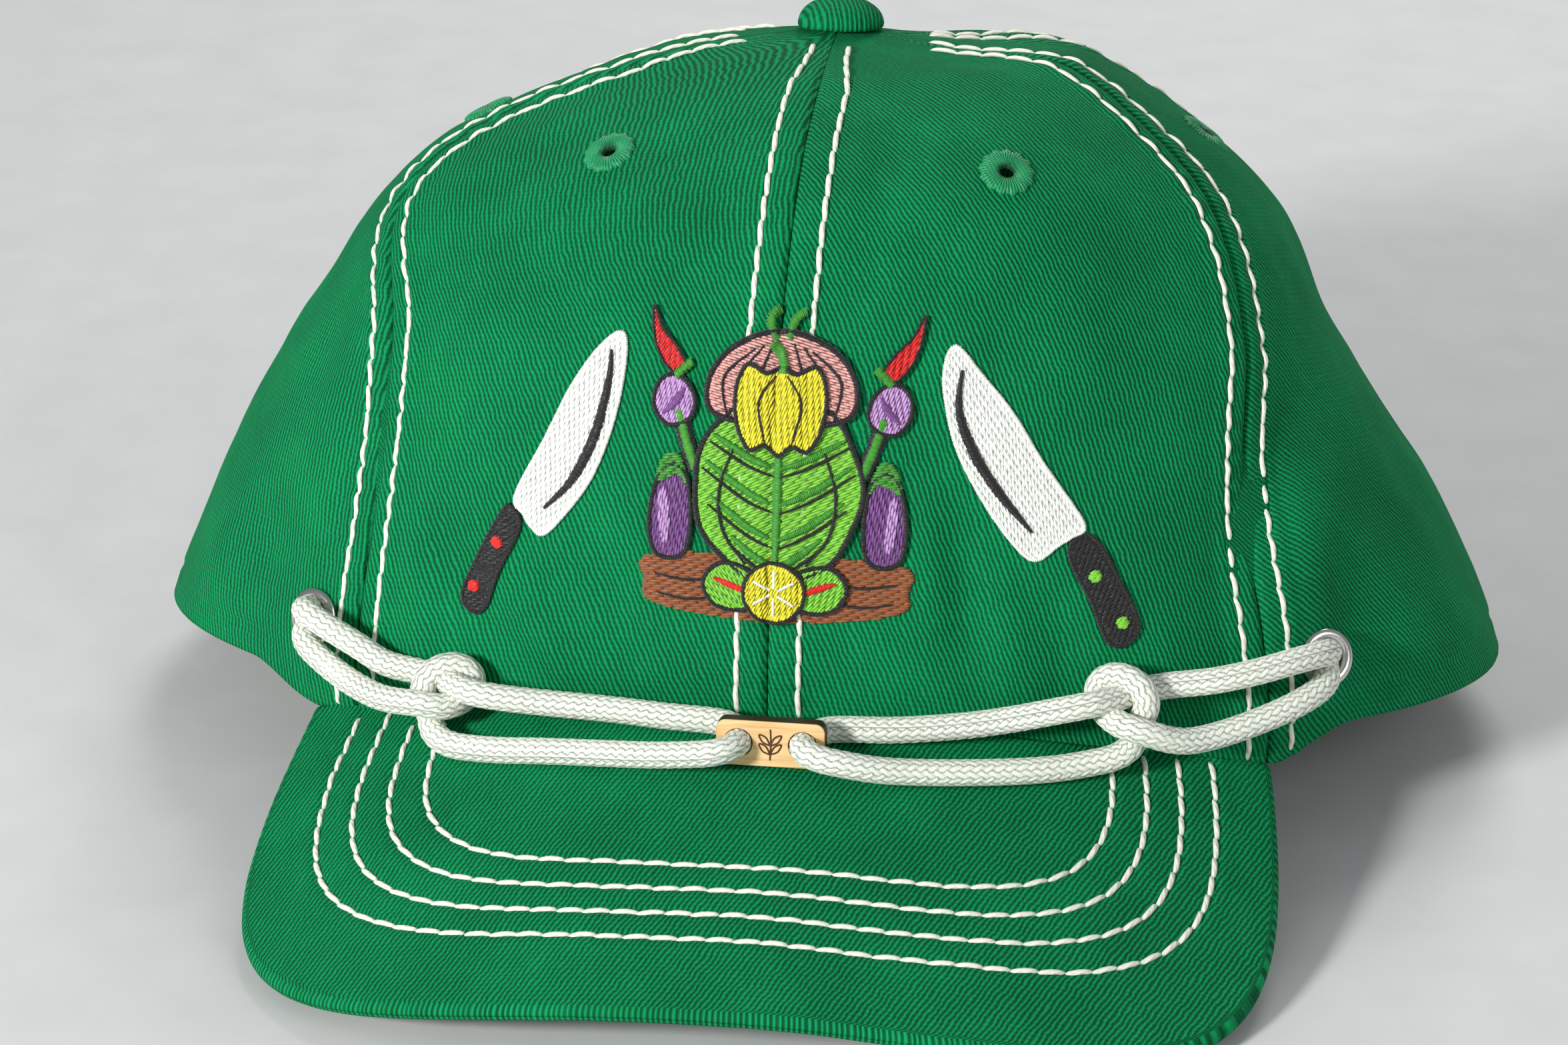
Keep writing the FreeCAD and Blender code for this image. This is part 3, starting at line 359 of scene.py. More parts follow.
def piece(obj, slot, *nodes):
    """Attach a visible piece to the cap's body and hide the CAD nodes that it stands for; slot, its material
    slot, is not used.
    """
    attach(obj, "cap")
    if nodes:
        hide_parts(*nodes)


# ---- materials

def linear(r, g, b):
    """sRGB 0-255 to linear."""
    def one(v):
        v /= 255.0
        return v / 12.92 if v <= 0.04045 else ((v + 0.055) / 1.055) ** 2.4
    return one(r), one(g), one(b), 1.0


class Nodes:
    """Small helper that adds and links shader nodes."""

    def __init__(self, name, **shader):
        self.material = bpy.data.materials.new(name)
        self.material.use_nodes = True
        self.tree = self.material.node_tree
        self.shader = self.tree.nodes["Principled BSDF"]
        for key, value in shader.items():
            self.shader.inputs[key.replace("_", " ")].default_value = value

    def add(self, kind, settings=None, **inputs):
        """New node; an input i0, i1 ... is meant by its place, any other by its name."""
        node = self.tree.nodes.new(kind)
        for key, value in (settings or {}).items():
            setattr(node, key, value)
        for key, value in inputs.items():
            self.put(node.inputs[int(key[1:]) if key[1:].isdigit() else key], value)
        return node

    def put(self, slot, value):
        if isinstance(value, bpy.types.NodeSocket):
            self.tree.links.new(value, slot)
        else:
            slot.default_value = value

    def place(self, output="Object"):
        return self.add("ShaderNodeTexCoord").outputs[output]

    def weave(self):
        """The cloth's or thread's own coordinates, whole and split into two."""
        uv = self.add("ShaderNodeUVMap", {"uv_map": "weave"}).outputs[0]
        return uv, *self.add("ShaderNodeSeparateXYZ", None, i0=uv).outputs[:2]

    def noise(self, vector, scale, detail, **more):
        return self.add("ShaderNodeTexNoise", None, Vector=vector, Scale=scale, Detail=detail, **more).outputs[0]

    def math(self, operation, a, b=0.0):
        return self.add("ShaderNodeMath", {"operation": operation}, i0=a, i1=b).outputs[0]

    def total(self, *terms, plus=0.0):
        """Sum of value times factor pairs and a constant."""
        for value, factor in terms:
            plus = self.math("ADD", self.math("MULTIPLY", value, factor), plus)
        return plus

    def wave(self, value, length):
        return self.math("SINE", self.math("MULTIPLY", value, 2 * math.pi / length))

    def ramp(self, value, *stops):
        node = self.add("ShaderNodeValToRGB", None, i0=value)
        ramp = node.color_ramp
        while len(ramp.elements) < len(stops):
            ramp.elements.new(0.5)
        for element, (place, colour) in zip(ramp.elements, stops):
            element.position = place
            element.color = colour
        return node.outputs[0]

    def mix(self, share, a, b):
        return self.add("ShaderNodeMix", {"data_type": "RGBA"}, i0=share, i6=a, i7=b).outputs[2]

    def bump(self, height, distance, strength=1.0):
        return self.add("ShaderNodeBump", None, Height=height, Distance=distance, Strength=strength).outputs[0]

    def finish(self, colour, normal=None, roughness=None):
        for slot, value in (("Base Color", colour), ("Normal", normal), ("Roughness", roughness)):
            if value is not None:
                self.put(self.shader.inputs[slot], value)
        return self.material


def twill(name, dark, light, rib=0.84, lean=67.0):
    """3/1 cotton twill: steep diagonal ribs crossed by single yarns, with faint fading and fuzz; the ribs are
    painted lighter on their crests and darker in their grooves (painted highlight and painted shade).
    """
    n = Nodes(name, Roughness=0.86, Sheen_Weight=0.04, Sheen_Roughness=0.45, Sheen_Tint=linear(50, 220, 140),
              Specular_IOR_Level=0.14)
    uv, x, y = n.weave()
    c, s = math.cos(math.radians(lean)), math.sin(math.radians(lean))
    across = n.total((x, s), (y, c), (n.noise(uv, 0.35, 2.0), 0.9))
    cells = n.math("FLOOR", n.math("MULTIPLY", across, 1.0 / rib))
    shifted = n.total((y, s), (x, -c), (cells, 0.37))
    fuzz = n.noise(uv, 2.6, 4.0, Roughness=0.7)
    height = n.total((n.wave(across, rib), 0.44), (n.wave(shifted, rib * 1.15), 0.08), (fuzz, 0.42))
    patches = n.noise(uv, 0.045, 3.0, Roughness=0.6)
    # Painted shade and highlight: the rib height darkens the grooves and lightens the crests; the patches are the
    # cloth's own uneven tone.
    tone = n.total((height, 0.85), (patches, 0.55), plus=0.18 - 0.55 / 2)
    pale = n.ramp(n.noise(uv, 0.9, 1.0), (0.62, (0, 0, 0, 1)), (0.8, (0.16, 0.16, 0.16, 1)))
    return n.finish(n.mix(pale, n.ramp(tone, (0.0, dark), (1.0, light)), light), n.bump(height, 0.00022))


def yarn(name, dark, light, scale, depth=0.0001, roughness=0.6, sheen=0.2):
    """Thread or rope: fine strands along the run; the colour is painted darker in the hollows (painted shade) by
    the shade attribute and the strands' height, and lighter on the crests.
    """
    n = Nodes(name, Roughness=roughness, Sheen_Weight=sheen, Specular_IOR_Level=0.35)
    uv, x, y = n.weave()
    shade = n.add("ShaderNodeAttribute", {"attribute_name": "shade"}).outputs["Fac"]
    strands = n.math("SINE", n.total((x, scale), (y, scale * 0.35)))
    height = n.total((strands, 0.3), plus=n.noise(uv, 3.0, 3.0))
    return n.finish(n.ramp(n.total((shade, 0.75), (height, 0.25)), (0.0, dark), (0.75, light)),
                    n.bump(height, depth))


def metal(name, colour, roughness, scratch):
    n = Nodes(name, Metallic=1.0, Roughness=roughness)
    grain, wear = n.noise(n.place(), 900.0, 4.0), n.noise(n.place(), 160.0, 3.0)
    tint = n.ramp(wear, (0.35, [v * 0.82 for v in colour[:3]] + [1]), (0.65, colour))
    return n.finish(tint, n.bump(grain, 0.00002, 0.5), n.total((grain, scratch), plus=roughness))


def maple():
    """Light maple whose cut edges, which face away from the tag's front, are burnt dark."""
    n = Nodes("maple", Roughness=0.5)
    stretch = n.add("ShaderNodeMapping", None, i0=n.place(), Scale=(90.0, 600.0, 1400.0)).outputs[0]
    grain = n.noise(stretch, 1.0, 5.0, Distortion=0.6)
    wood = n.ramp(grain, (0.3, linear(214, 166, 106)), (0.7, linear(242, 206, 150)))
    facing = n.add("ShaderNodeVectorMath", {"operation": "DOT_PRODUCT"}, i0=n.place("Normal"),
                   i1=tuple(dir_to_row((0, -1, 0)))).outputs["Value"]
    edge = n.math("SUBTRACT", 1.0, n.math("ABSOLUTE", facing))
    burnt = n.ramp(edge, (0.0, (0, 0, 0, 1)), (0.25, (0.15, 0.15, 0.15, 1)), (0.7, (1, 1, 1, 1)))
    return n.finish(n.mix(burnt, wood, linear(58, 34, 18)), n.bump(grain, 0.00004))


def speckled(name, roughness, scale, detail, dark, light, depth, **more):
    """Plain material whose tone and surface follow one fine grain; depth 0 leaves it smooth."""
    n = Nodes(name, Roughness=roughness)
    grain = n.noise(n.place(), scale, detail, **more)
    return n.finish(n.ramp(grain, (0.3, dark), (0.7, light)), n.bump(grain, depth) if depth else None)


# The twill's dark colour is also its painted shade in the grooves between ribs, and its light colour the painted
# highlight on the crests.
DEEP_GREEN, KELLY_GREEN = linear(0, 78, 44), linear(10, 166, 98)
TWILL = twill("green_twill", DEEP_GREEN, KELLY_GREEN)
TAPE = twill("green_tape", linear(0, 84, 48), linear(10, 146, 86), rib=0.6, lean=45.0)
# Each thread's first colour is its painted shade in the hollows, the second its own colour on the crests.
SEAM_THREAD = yarn("seam_thread", linear(150, 165, 140), linear(240, 238, 222), 9.0, roughness=0.5)
GREEN_THREAD = yarn("green_thread", linear(0, 54, 30), linear(18, 152, 92), 9.0, roughness=0.45, sheen=0.1)
ROPE = yarn("white_rope", linear(170, 178, 160), linear(238, 242, 228), 7.0, depth=0.00006, roughness=0.75)
NICKEL = metal("polished_nickel", (0.72, 0.70, 0.67, 1), 0.16, 0.08)
BRUSHED = metal("brushed_nickel", (0.62, 0.60, 0.57, 1), 0.30, 0.25)
STEEL = metal("plated_steel", (0.55, 0.56, 0.58, 1), 0.28, 0.2)
MAPLE = maple()
PLASTIC = speckled("board_plastic", 0.5, 300.0, 3.0, linear(205, 204, 198), linear(228, 227, 222), 0.00005)
FLEECE = speckled("backing_fleece", 0.95, 1400.0, 6.0, linear(206, 208, 202), linear(240, 240, 236), 0.00012,
                  Roughness=0.8)
BURN = speckled("burnt_line", 0.8, 3000.0, 3.0, linear(62, 36, 18), linear(98, 60, 32), 0.00003)
FLOOR = speckled("pale_floor", 0.7, 60.0, 3.0, (0.62, 0.62, 0.61, 1), (0.66, 0.66, 0.65, 1), 0)

# ---- ropes

TAG_MIDDLE = (1.5, -79.8, 5.3)
KNOTS = {"left": (-52.5, -62.7, 7.2), "right": (54.8, -61.9, 12.0)}
KNOT_NORMAL = (0.26, 0.966)


MIRROR = {"left": -1, "right": 1}


def at_knot(side, along, up, out):
    x, y, z = KNOTS[side]
    aside, ahead = KNOT_NORMAL
    return (x + MIRROR[side] * (aside * out - ahead * along), y - ahead * out - aside * along, z + up)


GROMMET_END = {"left": [(-80.5, -50.6), (-81.6, -53.8), (-80.6, -57.2)],
               "right": [(87.9, -45.2), (89.0, -48.4), (88.0, -51.8)]}
KNOT_SNUG = 0.66
TAG_TURN = [(4.9, -85.6, 4.8), (2.2, -82.9, 5.3), (2.2, -76.3, 5.3), (4.9, -73.6, 5.9)]

ROPES = {
    "left": {
        "low_end": (12.1, 11.3, 10.0),
        "to_ring": [(-77.4, -60.4, 8.6), (-73.6, -62.4, 6.6)],
        "ring": [(-15.5, -2.0, 6.6), (-9.6, -2.4, 9.2), (-3.4, -2.2, 11.2), (1.8, -3.8, 8.6),
                 (5.0, -2.2, 4.2), (5.2, 2.6, 2.6), (1.0, 5.5, 3.4), (-3.8, 4.4, 5.8),
                 (-6.2, -0.4, 7.2), (-5.0, -5.4, 6.2), (0.2, -8.0, 10.6)],
        "on_visor": [(-44.6, -76.6, -0.3), (-35.2, -78.4, 0.9), (-25.6, -80.4, 1.9), (-17.8, -83.2, 2.9),
                     (-11.2, -85.0, 4.0)],
        "from_tag": [(-10.6, -73.4, 6.2), (-16.6, -73.0, 6.3), (-24.8, -71.4, 6.3), (-34.6, -70.6, 6.4)],
        "through": [(11.0, 0.2, 7.0), (6.0, 0.8, 8.8), (1.2, 0.9, 6.2), (-2.8, 0.9, 3.0),
                    (-7.6, 1.0, 2.2), (-13.0, 1.6, 3.0)],
        "to_grommet": [(-70.0, -61.6, 11.2), (-74.2, -60.8, 13.2), (-77.8, -59.6, 14.8)],
        "high_end": (13.9, 15.0, 15.6),
    },
    "right": {
        "low_end": (13.1, 12.2, 10.8),
        "to_ring": [(83.4, -56.6, 9.0), (76.4, -61.2, 6.8)],
        "ring": [(-14.6, -6.6, 6.6), (-9.0, -6.6, 8.8), (-3.6, -5.8, 10.8), (1.8, -5.0, 8.8),
                 (5.2, -2.4, 4.4), (5.4, 2.6, 2.6), (1.2, 5.4, 3.4), (-3.7, 4.4, 5.8),
                 (-6.2, -0.2, 7.2), (-5.2, -5.2, 5.6), (-1.6, -9.2, 6.6)],
        "on_visor": [(49.6, -71.2, 1.4), (42.6, -75.0, 1.4), (33.5, -78.4, 1.6), (25.6, -80.6, 2.0),
                     (19.4, -83.2, 2.8), (14.2, -85.0, 3.9)],
        "from_tag": [(13.6, -73.4, 6.2), (20.8, -73.0, 6.2), (30.7, -71.4, 7.0), (38.4, -69.6, 8.0)],
        "through": [(11.4, -1.6, 7.0), (6.0, 0.0, 8.8), (1.2, 0.2, 6.2), (-2.8, 0.5, 3.0),
                    (-7.6, 1.0, 2.2), (-12.8, 1.6, 3.0)],
        "to_grommet": [(71.2, -61.6, 14.2), (77.4, -59.6, 15.4), (83.2, -56.4, 16.6)],
        "high_end": (14.9, 16.1, 16.8),
    },
}


def rope_route(side):
    parts = ROPES[side]
    route = [(x, y, z) for (x, y), z in zip(GROMMET_END[side], parts["low_end"])]
    route += parts["to_ring"]
    for step, (along, up, out) in enumerate(parts["ring"]):
        snug = KNOT_SNUG if 1 < step < len(parts["ring"]) - 1 else 1.0
        route.append(at_knot(side, along * snug, up * snug, out))
    route += parts["on_visor"]
    route += [(TAG_MIDDLE[0] + MIRROR[side] * (x + 3.0), y, z) for x, y, z in TAG_TURN]
    route += parts["from_tag"]
    route += [at_knot(side, *point) for point in parts["through"]]
    route += parts["to_grommet"]
    route += [(x, y, z) for (x, y), z in zip(reversed(GROMMET_END[side]), reversed(parts["high_end"]))]
    return route


def curve_mesh(curve):
    """Points and faces of a curve's shape; the curve itself isn't kept."""
    holder = show(bpy.data.objects.new(curve.name, curve))
    mesh = bpy.data.meshes.new_from_object(holder)
    points, faces = np.array([v.co[:] for v in mesh.vertices]), [tuple(f.vertices) for f in mesh.polygons]
    bpy.data.objects.remove(holder)
    bpy.data.curves.remove(curve)
    bpy.data.meshes.remove(mesh)
    return points, faces


def nurbs_line(route_mm):
    """Points along the NURBS spline whose control points are the route."""
    curve = bpy.data.curves.new("route", "CURVE")
    curve.dimensions = "3D"
    curve.resolution_u = 24
    spline = curve.splines.new("NURBS")
    spline.points.add(len(route_mm) - 1)
    for point, place in zip(spline.points, to_row(route_mm)):
        point.co = (*place, 1.0)
    spline.order_u = 3
    spline.use_endpoint_u = True
    return curve_mesh(curve)[0]


def from_row(points):
    """Metres in the row's frame back to millimetres in the cap's frame."""
    p = np.asarray(points, float) * 1000.0
    c, s = math.cos(REST_TILT), math.sin(REST_TILT)
    y, z = p[:, 1] - REST_SHIFT, p[:, 2] - REST_LIFT
    return np.stack([p[:, 0], y * c - z * s, y * s + z * c], 1)


def run_along(points):
    """Length along a line up to each of its points."""
    return np.concatenate([[0], np.linalg.norm(np.diff(points, axis=0), axis=1).cumsum()])


def even(points, step):
    """The same line with evenly spaced points, and the length up to each."""
    run = run_along(points)
    at = np.linspace(0, run[-1], max(2, int(run[-1] / step) + 1))
    return np.stack([np.interp(at, run, column) for column in points.T], 1), at


def tube_frames(line):
    """Two directions across the line at each point, without twist."""
    ahead = unit(np.gradient(line, axis=0))
    side = np.empty_like(line)
    first = np.cross(ahead[0], [0.3, 0.2, 1.0])
    side[0] = first / np.linalg.norm(first)
    for i in range(1, len(line)):
        v = side[i - 1] - ahead[i] * (side[i - 1] @ ahead[i])
        side[i] = v / np.linalg.norm(v)
    return side, np.cross(ahead, side)


ROPE_RADIUS, STRANDS, BRAID_PITCH, ROPE_SIDES = 2.0, 12, 1.8, 60


def braided_rope(name, route_mm):
    """Tube whose skin is a braid of plump strands, each passing over two and under two."""
    line, run = even(from_row(nurbs_line(route_mm)), 0.22)
    side, other = tube_frames(line)
    turn = np.linspace(0, 2 * math.pi, ROPE_SIDES, endpoint=False)
    s, t = np.meshgrid(run, turn, indexing="ij")
    p = STRANDS * t / (2 * math.pi) + s / BRAID_PITCH
    q = STRANDS * t / (2 * math.pi) - s / BRAID_PITCH
    over = (np.floor(p) + np.floor(q)) % 4 < 2
    lateral = np.where(over, p % 1, q % 1)
    lengthways = np.where(over, (q + np.floor(p)) % 4, (p + np.floor(q)) % 4 - 2) / 2
    height = np.sin(math.pi * lateral) ** 0.5 * (0.55 + 0.45 * np.sin(math.pi * np.clip(lengthways, 0, 1)) ** 0.5)
    wobble = 0.04 * np.sin(s / 5.1 + 1.3) * np.cos(t + s / 17.0)
    r = ROPE_RADIUS * (1.0 + wobble) + 0.20 * height
    verts = (line[:, None] + side[:, None] * (np.cos(t) * r)[..., None]
             + other[:, None] * (np.sin(t) * r)[..., None])
    ends = np.arange(ROPE_SIDES)
    faces = grid_faces(len(run), ROPE_SIDES, wrap=True, flip=True).tolist()
    faces += [ends, ends[::-1] + (len(run) - 1) * ROPE_SIDES]
    uv = np.stack([np.where(over, p, q), s], -1).reshape(-1, 2)
    # The strands' height is also the shade attribute: painted shade in the gaps between strands.
    rope = new_object(name, verts.reshape(-1, 3), faces, [ROPE], uv, shades=height.ravel())
    piece(rope, "rope_yarn", name)


for rope_side in ROPES:
    braided_rope(rope_side + "_rope", rope_route(rope_side))


# ---- crown panels

GROMMETS = {"left": (math.radians(-57.6), 0.136), "right": (math.radians(62.4), 0.117)}
EYELETS = {"front_left": (-45.5, 0.85), "front_right": (38.6, 0.822), "side_left": (-90.0, 0.84),
           "side_right": (90.0, 0.84), "back_left": (-139.0, 0.84), "back_right": (139.0, 0.84)}
EYELET_HOLE, GROMMET_HOLE = 2.2, 3.7        # radii in the panels, under the eyelet's and grommet's rims
HOLE_POINTS = ([(bare_crown(math.radians(b), f), EYELET_HOLE) for b, f in EYELETS.values()]
               + [(bare_crown(b, f), GROMMET_HOLE) for b, f in GROMMETS.values()])
ARCH_HALF, ARCH_RISE = 42.0, 46.0
CLOTH = 0.8             # thickness of the panels


def arch_height(x):
    return ARCH_RISE * np.maximum(1 - (x / ARCH_HALF) ** 2, 0) ** 0.45


def seamward(count):
    """Shares from 0 to 1, closer together near both ends."""
    t = np.linspace(0, 1, count)
    return 0.45 * t + 0.55 * (0.5 - 0.5 * np.cos(math.pi * t))


def fraction_of_height(bearing, height):
    low = rim_height(np.asarray(bearing, float))
    return (height - low) / (RISE - low)


def panel_climb(rows):
    """Shares of a panel's height, closer together near the top."""
    return 1 - (1 - np.linspace(0, 1, rows)) ** 1.6


def panel_grid(seam_a, seam_b, rows, columns):
    """Bearings and fractions over one panel; the lower edge of the back panels follows the arch."""
    share = seamward(columns)
    at_back = 3 in (abs(seam_a), abs(seam_b))
    if at_back:
        share = np.unique(np.concatenate([share, np.linspace(0.30, 0.42, 22)]))
    climb = panel_climb(rows)
    low = np.zeros(len(share))
    if at_back:
        for _ in range(6):
            a, b = seam_bearing(seam_a, low), seam_bearing(seam_b, low)
            bearing = a + (b - a) * share
            x = bare_crown(bearing, low)[..., 0]
            low = np.where(np.abs(x) < ARCH_HALF, fraction_of_height(bearing, arch_height(x)), 0.0)
            low = np.maximum(low, 0.0)
    fraction = low[None] + (1 - low[None]) * climb[:, None]
    a, b = seam_bearing(seam_a, fraction), seam_bearing(seam_b, fraction)
    slit = np.sign(b - a) * 0.08 / section_radius((a + b) / 2, fraction)
    bearing = a + slit + (b - a - 2 * slit) * share[None]
    return bearing, fraction


def crown_panel(name, seam_a, seam_b):
    rows, columns = 170, 104
    bearing, fraction = panel_grid(seam_a, seam_b, rows, columns)
    outer, normals = crown_cloth(bearing, fraction)
    edge = np.minimum(np.arange(rows), 3)[:, None] / 3.0
    inner = outer - normals * (CLOTH * (0.55 + 0.45 * edge))[..., None]
    centre = (outer[:-1, :-1] + outer[1:, :-1] + outer[:-1, 1:] + outer[1:, 1:]) / 4
    drop = np.zeros(centre.shape[:2], bool)
    for place, radius in HOLE_POINTS:
        drop |= np.linalg.norm(centre - place, axis=-1) < radius
    # The weave runs straight through the arch's edge: it is read off the panel without its arch.
    plain = np.broadcast_to(panel_climb(rows)[:, None], fraction.shape)
    first = seam_bearing(seam_a, fraction)
    share = (bearing - first) / (seam_bearing(seam_b, fraction) - first)
    plain_bearing = seam_bearing(seam_a, plain) * (1 - share) + seam_bearing(seam_b, plain) * share
    weave = weave_coordinates(bare_crown(plain_bearing, plain))
    weave = np.stack([[np.interp(fraction[:, j], plain[:, j], weave[:, j, k]) for j in range(fraction.shape[1])]
                      for k in (0, 1)], -1).transpose(1, 0, 2)
    cloth_piece(name, "crown_twill", outer, inner, TWILL, weave, drop)


for panel_name, first_seam, last_seam in (
        ("front_left_panel", -1, 0), ("front_right_panel", 0, 1), ("side_left_panel", -2, -1),
        ("side_right_panel", 1, 2), ("back_left_panel", -3, -2), ("back_right_panel", 2, 3)):
    crown_panel(panel_name, first_seam, last_seam)


# ---- inside: tapes, binding, band

def crown_strip(name, slot, bearing, fraction, outside, inside, material):
    """Cloth between two distances from the plain crown, negative ones inside it."""
    points, normals = bare_crown(bearing, fraction), crown_normal(bearing, fraction)
    outer = points + normals * np.broadcast_to(outside, bearing.shape)[..., None]
    inner = points + normals * np.broadcast_to(inside, bearing.shape)[..., None]
    cloth_piece(name, slot, outer, inner, material, weave_coordinates(points))


def seam_tape(name, seam, low):
    """Bias tape sewn down near both edges."""
    climb = 1 - (1 - np.linspace(0, 1, 130)) ** 1.4
    fraction, share = np.meshgrid(low + (0.972 - low) * climb, np.linspace(-1, 1, 21), indexing="ij")
    bearing = seam_bearing(seam, fraction) + share * 4.4 / np.interp(fraction, SPREAD_AT, SPREADS[seam])
    run = fraction * SEAM_RUN
    relief = 0.16 * np.exp(-((np.abs(share) - 0.72) / 0.13) ** 2) + 0.05 * np.sin(run * 2.1) * (1 - share ** 2)
    relief = relief + 0.25 * np.abs(share) ** 12
    crown_strip(name, "seam_tape", bearing, fraction, -1.0, -1.55 + relief, TAPE)


for tape_name, tape_seam, tape_low in (
        ("front_seam_tape", 0, 0.004), ("left_front_seam_tape", -1, 0.004), ("right_front_seam_tape", 1, 0.004),
        ("left_back_seam_tape", -2, 0.004), ("right_back_seam_tape", 2, 0.004), ("back_seam_tape", 3, 0.53)):
    seam_tape(tape_name, tape_seam, tape_low)


def sweatband():
    """Folded band: rolled upper edge, puffy between its two stitch rows."""
    bearing, up = np.meshgrid(np.radians(np.linspace(-143, 143, 360)), np.linspace(0, 1, 26))
    fraction = up * 30.0 / RISE
    relief = 0.25 * np.exp(-((up - 0.12) / 0.03) ** 2) - 0.18 * np.sin(math.pi * up) ** 2
    relief = relief + 0.35 * smooth(up, 0.96, 1.0) + 0.3 * (1 - smooth(up, 0.0, 0.04))
    relief = relief + 0.10 * ripple(bare_crown(bearing, fraction), 14, 21) * np.sin(math.pi * up)
    crown_strip("sweatband", "sweatband_cotton", bearing, fraction, -2.1, -2.9 + relief, TAPE)


sweatband()


def arch_curve(grow):
    """Bearings and fractions along the edge of the back opening, grown outwards by grow."""
    count = 120
    turn = np.linspace(0.02, math.pi - 0.02, count)
    x = (ARCH_HALF + grow) * np.cos(turn)
    z = (ARCH_RISE + grow) * np.sin(turn) ** 0.9
    fraction = np.clip(z / RISE, 0.004, 1)
    bearing = np.full(count, math.pi)
    for _ in range(30):
        reach = section_radius(bearing, fraction)
        bearing = math.pi - np.arcsin(np.clip(x / reach, -0.99, 0.99))
        fraction = np.clip(fraction_of_height(bearing, z), 0.004, 1)
    return bearing, fraction


def arch_binding():
    """Tape bound round the back opening, under the panels' edge."""
    lanes = 13
    bearing, fraction = np.array([arch_curve(grow) for grow in np.linspace(0.35, 5.9, lanes)]).transpose(1, 0, 2)
    share = np.abs(np.linspace(-1, 1, lanes))[:, None]
    relief = 0.14 * np.exp(-((share - 0.7) / 0.14) ** 2) + 0.2 * share ** 10
    crown_strip("back_opening_binding", "seam_tape", bearing, fraction, -0.98, -1.5 + relief, TAPE)


arch_binding()

# ---- visor

VISOR_HALF, VISOR_TAPER, VISOR_REACH, VISOR_BACK, VISOR_POWER = 86.0, 6.0, 67.0, 16.0, 4.4
VISOR_ROWS = [(10.8 + 5.75 * k, 15.9 + 5.4 * k, 4.2) for k in range(4)]   # insets and squareness
EDGE = 1.65             # half of the visor's thickness: the radius of its rolled edge


def visor_normal(u):
    turn = np.asarray(u) / BEND
    return np.stack([np.sin(turn), -math.sin(SLOPE) * np.cos(turn), math.cos(SLOPE) * np.cos(turn)], -1)


def visor_point(u, w, lift):
    """Point of the visor: u along its bend, w outwards from the seam, both in millimetres."""
    turn = u / BEND
    drop = BEND * (1 - np.cos(turn))
    y = -RIM_DEPTH - w * math.cos(SLOPE) + drop * math.sin(SLOPE)
    z = JOIN_RISE - w * math.sin(SLOPE) - drop * math.cos(SLOPE)
    return np.stack([BEND * np.sin(turn), y, z], -1) + visor_normal(u) * np.asarray(lift)[..., None]


def half_width(ahead, side_inset):
    return VISOR_HALF - side_inset - VISOR_TAPER * (1 - ahead) ** 2


def visor_outline(turn, side_inset, front_inset, power=VISOR_POWER):
    ahead = np.abs(np.sin(turn)) ** (2 / power)
    x = np.sign(np.cos(turn)) * np.abs(np.cos(turn)) ** (2 / power) * half_width(ahead, side_inset)
    return BEND * np.arcsin(x / BEND), -VISOR_BACK + (VISOR_REACH + VISOR_BACK - front_inset) * ahead


def row_gap(u, w, side_inset, front_inset, power):
    """Rough distance from a stitch row of the visor, in millimetres."""
    ahead = np.maximum(w + VISOR_BACK, 0) / (VISOR_REACH + VISOR_BACK - front_inset)
    x = BEND * np.sin(u / BEND)
    level = ((np.abs(x) / half_width(np.minimum(ahead, 1), side_inset)) ** power + ahead ** power) ** (1 / power)
    return (level - 1) * np.hypot(x, w + VISOR_BACK)


def visor_relief(u, w):
    """Quilting: the cloth is pulled down at each stitch row and puffs up between them."""
    relief = 0.0 * u
    flat = np.stack([u, w, 0 * u], -1)
    for index, row in enumerate(VISOR_ROWS):
        gap = row_gap(u, w, *row)
        relief = relief - 0.34 * np.exp(-(gap / 0.75) ** 2) + 0.10 * np.exp(-((gap - 2.0) / 1.2) ** 2)
        relief = relief + 0.07 * np.sin(u / 1.55 + w / 1.8 + index) * np.exp(-(gap / 2.0) ** 2)
    return relief + 0.22 * ripple(flat, 30, 11) + 0.05 * ripple(flat, 7, 12)


def past_rim(u, w):
    """Whether a point of the visor is in front of the crown."""
    points = visor_point(u, w, 0 * u)
    bearing = np.arctan2(points[..., 0], -points[..., 1])
    return np.hypot(points[..., 0], points[..., 1]) > section_radius(bearing, 0 * u) + 0.4


def visible_turns(count, *row):
    """Evenly spaced parameters of an outline's stretch in front of the crown."""
    turn = np.linspace(0, math.pi, 8001)
    u, w = visor_outline(turn, *row)
    clear = past_rim(u, w)
    turn, u, w = turn[clear], u[clear], w[clear]
    run = np.concatenate([[0], np.hypot(np.diff(u), np.diff(w)).cumsum()])
    return np.interp(np.linspace(0, run[-1], count), run, turn)


